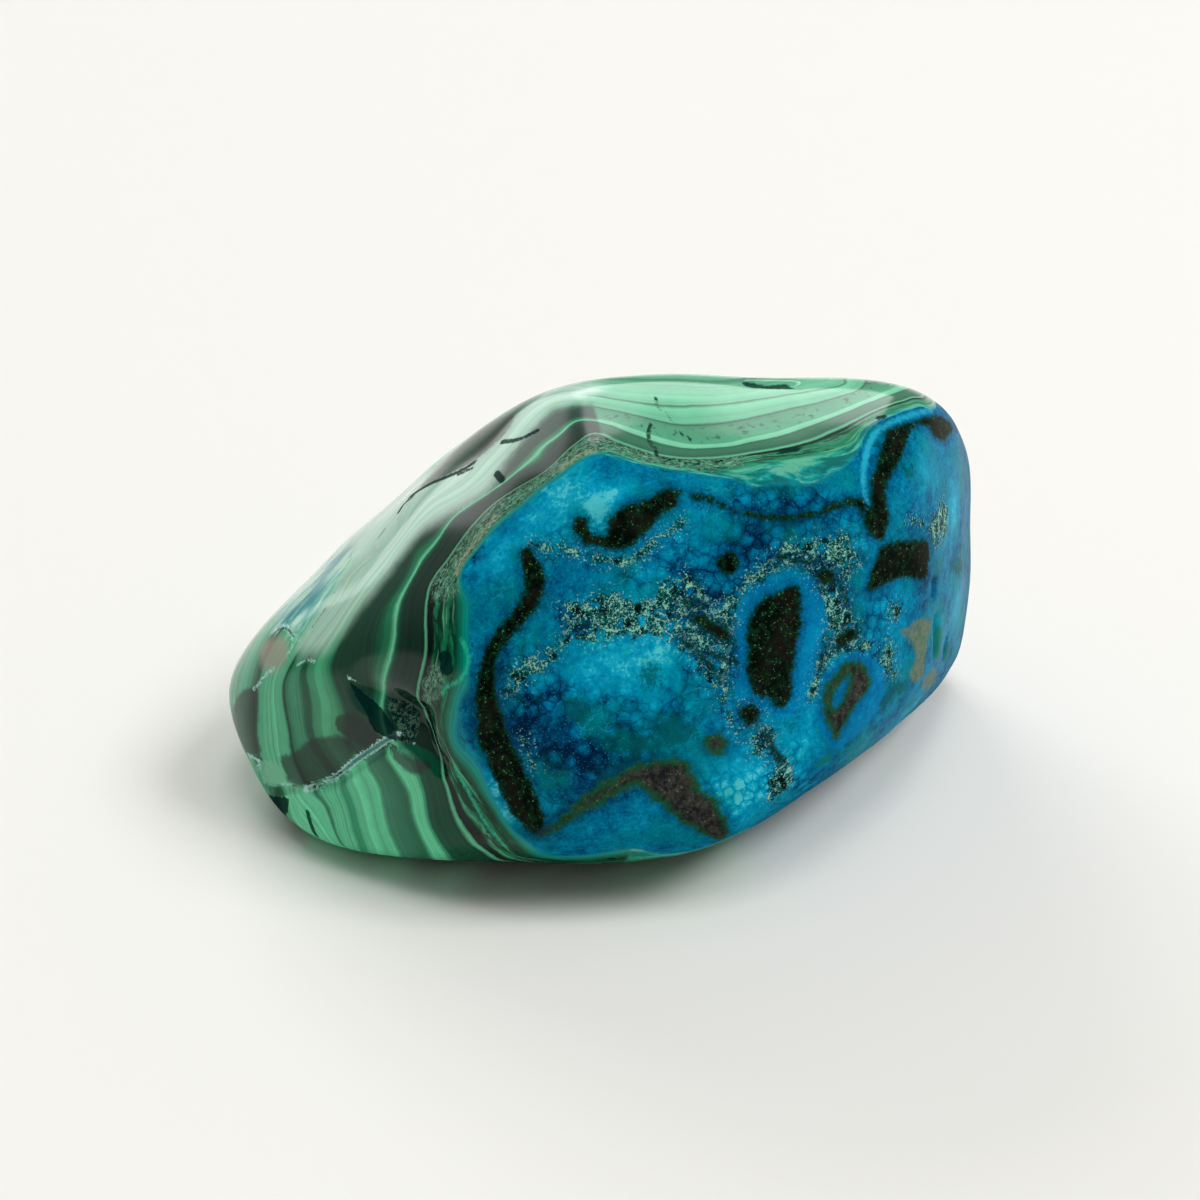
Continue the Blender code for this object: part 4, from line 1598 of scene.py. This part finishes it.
    def malachite(self, bench: Bench, place: Wire, level: Wire) -> Wire:
        """Colour the green bands: one copy for the sides, a copy painted paler on the top as painted sky
        reflection, and a copy painted lighter at the foot as painted light.

        Args:
            bench: where the nodes go.
            place: the place in millimetres.
            level: the growth level.

        Returns:
            The colour.
        """
        # The top copy of the bands is paler and its stripes muted: painted sky reflection on the upward top,
        # over the top's own stripe order.
        on_top = bench.field("top").above(0.0, blur=0.3)
        side, over, foot = (bench.ramp(level * (1 / LEVELS), banded(bands))
                            for bands in (self.side_bands, self.top_bands_with_painted_sky, self.foot_bands_with_painted_light))
        # The foot copy is painted lighter: painted light for the down-facing foot.
        side = bench.mixed(bench.field("foot").above(0.0, blur=0.5), side, foot)
        both = bench.mixed(on_top, side, over)
        stripes = (bench.lines(level, scale=0.9, detail=1.0) * 0.7
                   + bench.lines(level + 40.0, scale=4.0, detail=2.0) * 0.9)
        clouds = bench.noise(place, scale=0.5, detail=4.0, roughness=0.6) * 0.3
        both = bench.lit(both, stripes * (1.0 - on_top * 0.5) + clouds + 1.0)
        both = self.streaked(bench, place, level, both, level.between(*self.rim_zone, blur=0.2) * on_top)
        flecks = bench.noise(bench.warped(place, scale=0.6, reach=0.6), scale=1.0, detail=4.0, roughness=0.7)
        beside = bench.along(place, level, slow=1.1, quick=0.9)
        crumbs = bench.noise(beside, scale=1.6, detail=4.0, roughness=0.8)
        grain = level.between(*self.grain_zone, blur=0.4)
        grain = grain * (bench.field("grain") + flecks * 3.0).above(0.0, blur=0.6)
        both = bench.mixed(grain * flecks.above(-0.05, blur=0.12) * 0.6, both, self.grain_green)
        both = bench.mixed(grain * crumbs.above(0.08, blur=0.04) * 0.9, both, self.pale)
        both = bench.mixed(grain * crumbs.below(-0.05, blur=0.05) * 0.85, both, self.zone_dark)
        both = bench.mixed(grain * crumbs.below(-0.14, blur=0.03) * 0.9, both, self.black_green)
        here_and_there = bench.noise(place, scale=0.22).above(0.02, blur=0.08)
        pits = level.between(*self.pitted_zone, blur=0.3) * crumbs.below(-0.05, blur=0.04) * here_and_there
        both = bench.mixed(pits * 0.9, both, self.black_green)
        bare = level.between(*self.flecked_zone, blur=0.6) * on_top
        both = bench.mixed(bare * flecks.above(0.10, blur=0.04) * 0.7, both, self.shade)
        frost = (bench.field("frost") + bench.noise(place, scale=0.4, detail=3.0)).above(0.0, blur=1.6)
        both = bench.mixed(frost * 0.85, both, bench.lit(self.frost[:3], stripes * 0.6 + 0.9))
        cream = (bench.field("cream") + crumbs * 1.5).above(0.2, blur=0.5)
        return bench.mixed(cream * 0.75, both, self.cream)

    def streaked(self, bench: Bench, place: Wire, level: Wire, green: Wire, rim: Wire) -> Wire:
        """Lay the uneven streaks that run beside the blue over the green bands.

        Args:
            bench: where the nodes go.
            place: the place in millimetres.
            level: the growth level.
            green: the colour below.
            rim: how far each place belongs to the pale rim on top of the stone.

        Returns:
            The colour.
        """
        beside = bench.along(place, level, slow=0.22, quick=0.8)
        streaks = bench.noise(beside, scale=1.0, detail=4.0, roughness=0.65)
        threads = bench.noise(bench.along(place, level, slow=0.15, quick=1.6), scale=1.0)
        zone = level.between(*self.streaky_zone, blur=0.2)
        green = bench.mixed(rim * streaks.above(0.04, blur=0.06) * 0.6, green, self.pale)
        green = bench.mixed(rim * streaks.below(-0.04, blur=0.06) * 0.7, green, self.teal)
        green = bench.mixed(zone * streaks.above(0.03, blur=0.06) * 0.9, green, self.mid_green)
        green = bench.mixed(zone * streaks.below(-0.05, blur=0.05) * 0.8, green, self.zone_dark)
        return bench.mixed(zone * threads.above(0.15, blur=0.03) * 0.5, green, self.pale)

    def blue(self, bench: Bench, place: Wire, level: Wire) -> Wire:
        """Colour the blue ground.

        Args:
            bench: where the nodes go.
            place: the place in millimetres.
            level: the growth level.

        Returns:
            The colour.
        """
        ground = bench.ramp(self.depth_of_blue(bench, place), self.blues)
        tint = bench.noise(bench.shifted(place, (31.0, 7.0, 3.0)), scale=0.16, detail=4.0, roughness=0.6)
        ground = bench.mixed(tint.above(0.05, blur=0.12) * 0.5, ground, self.turquoise)
        ground = bench.mixed(level.above(-0.14, blur=0.18) * 0.6, ground, self.turquoise)
        halo = (bench.field("halo") + bench.noise(place, scale=0.9, detail=3.0)).above(0.0, blur=0.3)
        ground = bench.mixed(halo * 0.55, ground, self.azure)
        threads, _ = bench.cells(bench.warped(place, scale=0.8, reach=0.8), 0.30, "DISTANCE_TO_EDGE")
        veined = bench.noise(bench.shifted(place, (5.0, 19.0, 11.0)), scale=0.14).above(0.08, blur=0.05)
        ground = bench.mixed(threads.below(0.01, blur=0.012) * veined * 0.45, ground, self.cyan)
        sprinkle = bench.noise(bench.shifted(place, (2.0, 6.0, 1.0)), scale=5.0, detail=1.0)
        ground = bench.mixed(sprinkle.above(0.19, blur=0.03) * 0.5, ground, self.cyan)
        vein = (bench.field("cyan") + bench.noise(place, scale=1.2, detail=3.0) * 0.6).above(0.1, blur=0.25)
        return bench.mixed(vein * 0.85, ground, self.cyan)

    @staticmethod
    def depth_of_blue(bench: Bench, place: Wire) -> Wire:
        """Work out how light or deep the blue is, with its bubbly skins and its drifts.

        Args:
            bench: where the nodes go.
            place: the place in millimetres.

        Returns:
            From about 0 for deep to 1 for light.
        """
        drift = bench.warped(place, scale=0.35, reach=0.9)
        round_place = bench.warped(place, scale=1.6, reach=0.14)
        bubbles, own = bench.cells(round_place, 0.7, "F1")
        rims, _ = bench.cells(round_place, 0.7, "DISTANCE_TO_EDGE")
        where = bench.noise(bench.shifted(place, (14.0, 3.0, 8.0)), scale=0.13).above(-0.02, blur=0.08)
        where = where * (bench.field("calm") + bench.noise(place, scale=0.4) * 2.0).below(0.2, blur=1.0)
        tone = bench.field("tone") + bench.noise(place, scale=0.11, detail=3.0) * 0.5
        tone = tone + bench.noise(drift, scale=0.55, detail=4.0, roughness=0.7) * 0.95
        bubbly = (0.5 - bubbles) * 0.5 + (own - 0.5) * 0.22 - rims.below(0.05, blur=0.05) * 0.16
        return tone + bubbly * where + bench.noise(place, scale=2.2, detail=2.0, roughness=0.7) * 0.55

    def hidden_depth(self, bench: Bench, place: Wire, shift: Point, limit: float) -> Wire:
        """Scatter markings over the sides that aren't seen; a higher limit makes them rarer."""
        swell = bench.noise(bench.shifted(place, shift), scale=0.11, detail=3.0, roughness=0.6)
        return (swell - limit) * self.hidden_swell - (1.0 - bench.field("hidden")) * self.hidden_fade

    def laced(self, bench: Bench, place: Wire, ground: Wire) -> Tuple[Wire, Wire]:
        """Lay the sparkling lace over the blue.

        Args:
            bench: where the nodes go.
            place: the place in millimetres.
            ground: the colour below.

        Returns:
            The colour, and how much lace there is.
        """
        rough = bench.noise(place, scale=0.7, detail=4.0, roughness=0.7)
        inside = bench.maths("MAXIMUM", bench.field("druse") + rough * 3.8, bench.field("lace") + rough * 1.8)
        inside = bench.maths("MAXIMUM", inside, self.hidden_depth(bench, place, (3.0, 17.0, 6.0), 0.045))
        cover = inside.above(0.1, blur=0.4)
        curls = bench.warped(bench.warped(place, scale=0.9, reach=0.5), scale=3.0, reach=0.22)
        net, _ = bench.cells(curls, 0.8, "DISTANCE_TO_EDGE")
        _, own = bench.cells(curls, 0.8, "F1")
        amount = cover * bench.maths("MAXIMUM", own.above(0.35, blur=0.05), net.below(0.12, blur=0.08))
        clumps = bench.noise(bench.shifted(place, (9.0, 1.0, 4.0)), scale=0.8, detail=4.0, roughness=0.65)
        stipple = bench.noise(bench.shifted(place, (5.0, 2.0, 8.0)), scale=4.2, detail=3.0, roughness=0.85)
        ground = bench.mixed(amount * 0.9, ground, self.lace_ground)
        holes = bench.maths("MAXIMUM", clumps.below(-0.04, blur=0.04), stipple.below(-0.06, blur=0.04) * 0.8)
        ground = bench.mixed(amount * holes * 0.95, ground, self.lace_hole)
        crests = (stipple + clumps * 0.7 + net.below(0.05, blur=0.04) * 0.11).above(0.12, blur=0.04)
        ground = bench.mixed(amount * crests * 0.95, ground, self.lace_pale)
        stray = bench.noise(bench.shifted(place, (3.0, 3.0, 9.0)), scale=3.4).above(0.15, blur=0.03)
        return bench.mixed(stray * inside.above(-0.8, blur=0.9) * 0.8, ground, self.lace_pale), cover

    def patched(self, bench: Bench, place: Wire, ground: Wire) -> Wire:
        """Lay the dark, brown and olive patches over the blue.

        Args:
            bench: where the nodes go.
            place: the place in millimetres.
            ground: the colour below.

        Returns:
            The colour.
        """
        rough = bench.noise(place, scale=1.0, detail=4.0, roughness=0.75) * 2.0
        blots = bench.noise(bench.shifted(place, (1.0, 8.0, 2.0)), scale=1.1, detail=4.0, roughness=0.7)
        fine = bench.noise(bench.shifted(place, (4.0, 5.0, 2.0)), scale=3.0, detail=3.0, roughness=0.8)
        sparks = bench.noise(bench.shifted(place, (7.0, 7.0, 1.0)), scale=4.0, detail=1.0)
        sparks = (sparks + blots * 0.35).above(0.21, blur=0.03)
        smudge = (bench.field("smudge") + rough * 2.6 + fine * 4.0).above(0.3, blur=0.6)
        ground = bench.mixed(smudge * 0.7, ground, self.teal)
        olive = (bench.field("olive") + rough * 1.2).above(0.1, blur=0.5)
        hue = bench.mixed(blots.above(0.0, blur=0.1) * 0.45, self.olive, self.teal)
        ground = bench.mixed(olive * 0.9, ground, hue)
        brown = bench.field("brown") + rough * 1.3 + fine * 1.6
        hue = bench.mixed(blots.above(0.0, blur=0.12), self.brown, self.brown_grey)
        hue = bench.mixed(brown.above(0.6, blur=0.6), self.khaki, hue)
        hue = bench.mixed(sparks * 0.5, bench.lit(hue, fine * 1.6 + 1.0), self.spark)
        ground = bench.mixed(brown.above(-0.7, blur=0.7) * 0.5, ground, self.shadow_blue)
        ground = bench.mixed(brown.above(0.0, blur=0.3), ground, hue)
        scattered = self.hidden_depth(bench, place, (23.0, 5.0, 12.0), 0.075) + fine * 1.6
        dark = bench.maths("MAXIMUM", bench.field("dark") + rough + fine * 1.6, scattered)
        fringe = dark.above(-0.7, blur=0.8) * fine.below(0.02, blur=0.1)
        ground = bench.mixed(fringe * 0.8, ground, self.shadow_blue)
        umber = bench.noise(place, scale=0.33).above(0.02, blur=0.08)
        hue = bench.mixed(umber * 0.6, self.black_green, self.umber)
        hue = bench.mixed(blots.above(0.05, blur=0.08) * 0.9, hue, self.deep_green)
        hue = bench.mixed(dark.above(0.35, blur=0.25), self.edge_green, hue)
        hue = bench.mixed(fine.above(0.12, blur=0.05) * 0.5, hue, self.deep_green)
        hue = bench.mixed(sparks * 0.6, hue, self.spark)
        return bench.mixed(dark.above(0.05, blur=0.2), ground, hue)

    def chipped(self, bench: Bench, place: Wire, level: Wire, ground: Wire) -> Tuple[Wire, Wire, Wire]:
        """Lay the mottle, crumbs, linings and cracks that cross both the blue and the green.

        Args:
            bench: where the nodes go.
            place: the place in millimetres.
            level: the growth level.
            ground: the colour below.

        Returns:
            The colour, how far each place lies in a crack and how far it is broken.
        """
        fine = bench.noise(place, scale=2.5, detail=3.0, roughness=0.6)
        shade = (bench.field("shade") + fine).above(0.2, blur=0.4)
        ground = bench.mixed(shade * 0.8, ground, self.shade)
        ground = bench.mixed((bench.field("pale") + fine).above(0.1, blur=0.3) * 0.8, ground, self.pale)
        ground = bench.mixed((bench.field("pink_grey_oval") + fine).above(0.2, blur=1.0) * 0.7, ground, self.pink_grey_oval)
        beside = bench.along(place, level, slow=0.35, quick=1.0)
        drifts = bench.noise(beside, scale=0.42, detail=4.0, roughness=0.6)
        mottle = (bench.field("turquoise") + drifts * 6.0 + fine * 1.5).above(0.2, blur=1.0)
        hue = bench.mixed(drifts.above(0.0, blur=0.16), self.mottle, self.frost)
        hue = bench.mixed(drifts.below(-0.06, blur=0.12) * 0.8, hue, self.sea)
        ground = bench.mixed(mottle * 0.8, ground, hue)
        rubble = (bench.field("rubble") + fine).above(0.1, blur=0.25)
        grit = bench.noise(place, scale=1.8, detail=4.0, roughness=0.75).above(0.02, blur=0.06)
        ground = bench.mixed(rubble * 0.9, ground, bench.mixed(grit, self.crack_dark, self.grit))
        lining = (bench.field("white") + fine * 1.3).above(0.08, blur=0.15)
        ground = bench.mixed(lining * 0.85, ground, self.lining)
        rim = (bench.field("rim") + fine * 0.8).above(0.05, blur=0.2)
        ground = bench.mixed(rim * 0.8, ground, self.rim_teal)
        fill = (bench.field("fill") + fine * 0.5).above(0.05, blur=0.12)
        ground = bench.mixed(fill * 0.9, ground, self.crack_teal)
        crack = (bench.field("crack") + fine * 0.35).above(0.0, blur=0.10)
        ground = bench.mixed(crack * 0.9, ground, self.crack_dark)
        return ground, crack, bench.maths("MAXIMUM", crack, rubble)

    def gloss(self, bench: Bench, level: Wire, broken: Wire) -> Wire:
        """Work out how glossy the polish is: highest on the green, worn at the foot, gone where broken.

        Args:
            bench: where the nodes go.
            level: the growth level.
            broken: how far each place is broken.

        Returns:
            The strength of the clear polish.
        """
        sheen = bench.field("sheen").above(-1.5, blur=4.0) * self.sheen
        hard = bench.maths("MAXIMUM", level.above(0.0, blur=0.5), sheen)
        worn = bench.step(bench.height(), *self.worn_foot) * (1.0 - self.worn_polish) + self.worn_polish
        return (hard * (1.0 - self.blue_polish) + self.blue_polish) * (1.0 - broken * 0.9) * worn

    def dress(self, block: bpy.types.Object) -> None:
        """Give the stone its material.

        Args:
            block: the stone.
        """
        material = bpy.data.materials.new(self.name)
        material.use_nodes = True
        material.node_tree.nodes.clear()
        bench = Bench(material.node_tree)
        place = bench.place()
        level = bench.field("band") + bench.noise(place, scale=0.10) * 0.7
        level = level + bench.noise(place, scale=0.8, detail=3.0, roughness=0.6) * 0.22
        ground, cover = self.laced(bench, place, self.blue(bench, place, level))
        ground = self.patched(bench, place, ground)
        colour = bench.mixed(level.above(0.0, blur=0.14), ground, self.malachite(bench, place, level))
        colour, crack, broken = self.chipped(bench, place, level, colour)
        crusted = bench.maths("MAXIMUM", bench.field("druse"), bench.field("lace")).above(0.1, blur=0.8)
        grit = bench.noise(place, scale=3.0, detail=2.0, roughness=0.6)
        height = grit * (crusted + broken * 3.0 + 0.03) - crack
        rough = cover * self.lace_roughness + broken * self.broken_roughness + self.stone_gloss
        bump = bench.node("ShaderNodeBump", {}, {
            "Strength": self.relief_strength, "Distance": self.relief, "Height": height})
        shader = bench.node("ShaderNodeBsdfPrincipled", {}, {
            "Base Color": colour, "Roughness": rough,
            "IOR": self.stone_refraction, "Specular IOR Level": self.stone_shine,
            "Coat Weight": self.gloss(bench, level, broken), "Coat Roughness": self.polish,
            "Coat IOR": self.polish_refraction, "Normal": Wire(bench, bump.outputs[0])})
        bench.node("ShaderNodeOutputMaterial", {}, {"Surface": Wire(bench, shader.outputs[0])})
        block.data.materials.clear()
        block.data.materials.append(material)


# ---- the studio -----------------------------------------------------------------------------


@dataclass(frozen=True)
class Lamp:
    """A soft panel of light; a mirrored one is seen in the gloss alone, and the others aren't."""

    name: str
    azimuth: float
    elevation: float
    distance: float
    size: Tuple[float, float]
    power: float
    mirrored: bool


@dataclass(frozen=True)
class LightTent:
    """The pale floor, the soft panels and the pale room round them."""

    floor_size: float = 5.0
    floor_roughness: float = 0.85
    floor_shine: float = 0.1
    floor_colour: Colour = paint(244, 243, 239)
    room_bright: Colour = paint(164, 163, 161)
    room_dim: Colour = paint(36, 36, 35)
    skyline: Colour = paint(244, 243, 239)
    room_toward: Tuple[float, float] = (130.0, 50.0)
    room_blend: Tuple[float, float] = (-0.6, 0.7)
    horizon: Tuple[float, float] = (0.06, 0.06)
    aim: Point = (0.0, 0.0, 0.02)
    lamps: Tuple[Lamp, ...] = (
        Lamp("key panel", 48.0, 52.0, 3.0, (1.3, 1.1), 46.0, False),
        Lamp("top panel", 0.0, 80.0, 3.0, (1.0, 1.0), 18.0, False),
        Lamp("back panel", 178.0, 34.0, 3.0, (1.8, 1.0), 27.0, False),
        Lamp("left back reflector", -170.0, 25.0, 3.0, (1.6, 1.6), 19.0, True),
        Lamp("top back reflector", 150.0, 43.0, 3.0, (2.6, 1.2), 44.0, True),
    )

    def lay_floor(self) -> bpy.types.Object:
        """Lay the floor.

        Returns:
            The floor.
        """
        bpy.ops.object.select_all(action="DESELECT")
        bpy.ops.mesh.primitive_plane_add(size=self.floor_size, location=(0.0, 0.0, 0.0))
        floor = bpy.context.active_object
        floor.name = "studio_floor"
        material = bpy.data.materials.new("pale_floor")
        material.use_nodes = True
        material.node_tree.nodes.clear()
        bench = Bench(material.node_tree)
        shader = bench.node("ShaderNodeBsdfPrincipled", {}, {
            "Base Color": self.floor_colour, "Roughness": self.floor_roughness,
            "Specular IOR Level": self.floor_shine})
        bench.node("ShaderNodeOutputMaterial", {}, {"Surface": Wire(bench, shader.outputs[0])})
        floor.data.materials.append(material)
        return floor

    def hang(self, lamp: Lamp) -> None:
        """Hang one panel of light off the stone and turn it to face the stone.

        Args:
            lamp: the panel.
        """
        bpy.ops.object.light_add(type="AREA")
        panel = bpy.context.active_object
        panel.name = lamp.name.replace(" ", "_")
        panel.data.shape = "RECTANGLE"
        panel.data.size, panel.data.size_y = lamp.size
        panel.data.energy = lamp.power
        panel.visible_camera = False
        panel.visible_glossy = lamp.mirrored
        panel.visible_diffuse = not lamp.mirrored
        offset = facing(lamp.azimuth, lamp.elevation) * lamp.distance
        panel.location = tuple(np.array(self.aim) + offset)
        panel.rotation_euler = (radians(90 - lamp.elevation), 0.0, radians(lamp.azimuth))

    def light_room(self) -> None:
        """Fill the room with light: dim on one side, brighter on the other, pale at the skyline."""
        world = bpy.data.worlds.new("studio_room")
        world.use_nodes = True
        world.node_tree.nodes.clear()
        bench = Bench(world.node_tree)
        coordinates = bench.node("ShaderNodeTexCoord", {}, {})
        toward = bench.node("ShaderNodeVectorMath", {"operation": "DOT_PRODUCT"}, {
            0: Wire(bench, coordinates.outputs["Generated"]), 1: tuple(facing(*self.room_toward))})
        near = bench.step(Wire(bench, toward.outputs["Value"]), *self.room_blend)
        split = bench.node("ShaderNodeSeparateXYZ", {}, {0: Wire(bench, coordinates.outputs["Generated"])})
        low = Wire(bench, split.outputs["Z"]).below(*self.horizon)
        colour = bench.mixed(low, bench.mixed(near, self.room_dim, self.room_bright), self.skyline)
        glow = bench.node("ShaderNodeBackground", {}, {"Color": colour, "Strength": 1.0})
        bench.node("ShaderNodeOutputWorld", {}, {"Surface": Wire(bench, glow.outputs[0])})
        bpy.context.scene.world = world
        bpy.context.scene.view_settings.view_transform = "Standard"

    def set_up(self) -> None:
        """Put the whole studio up."""
        floor = self.lay_floor()
        for lamp in self.lamps:
            self.hang(lamp)
        self.light_room()
        LOG.info("studio: floor and %d panels", len(self.lamps))


def corners(box: Tuple[Sequence[float], Sequence[float]]) -> List[List[float]]:
    """Write a box as plain lists."""
    return [[float(part) for part in corner] for corner in box]


def main() -> None:
    """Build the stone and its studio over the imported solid."""
    logging.basicConfig(level=logging.INFO, format="%(name)s: %(message)s")
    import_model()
    low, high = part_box(CAD_NODE)
    centre = tuple((low[axis] + high[axis]) / 2 for axis in range(3))
    form = StoneForm()
    camera = SightCamera()
    skin = StoneSkin(form, camera)
    stone = skin.make(centre)
    skin.mark(stone)
    PolishedStone().dress(stone)
    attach(stone, BODY)
    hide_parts(CAD_NODE)
    LOG.info("stone: %d faces", len(stone.data.polygons))
    camera.place()
    LightTent().set_up()


if __name__ == "__main__":
    main()
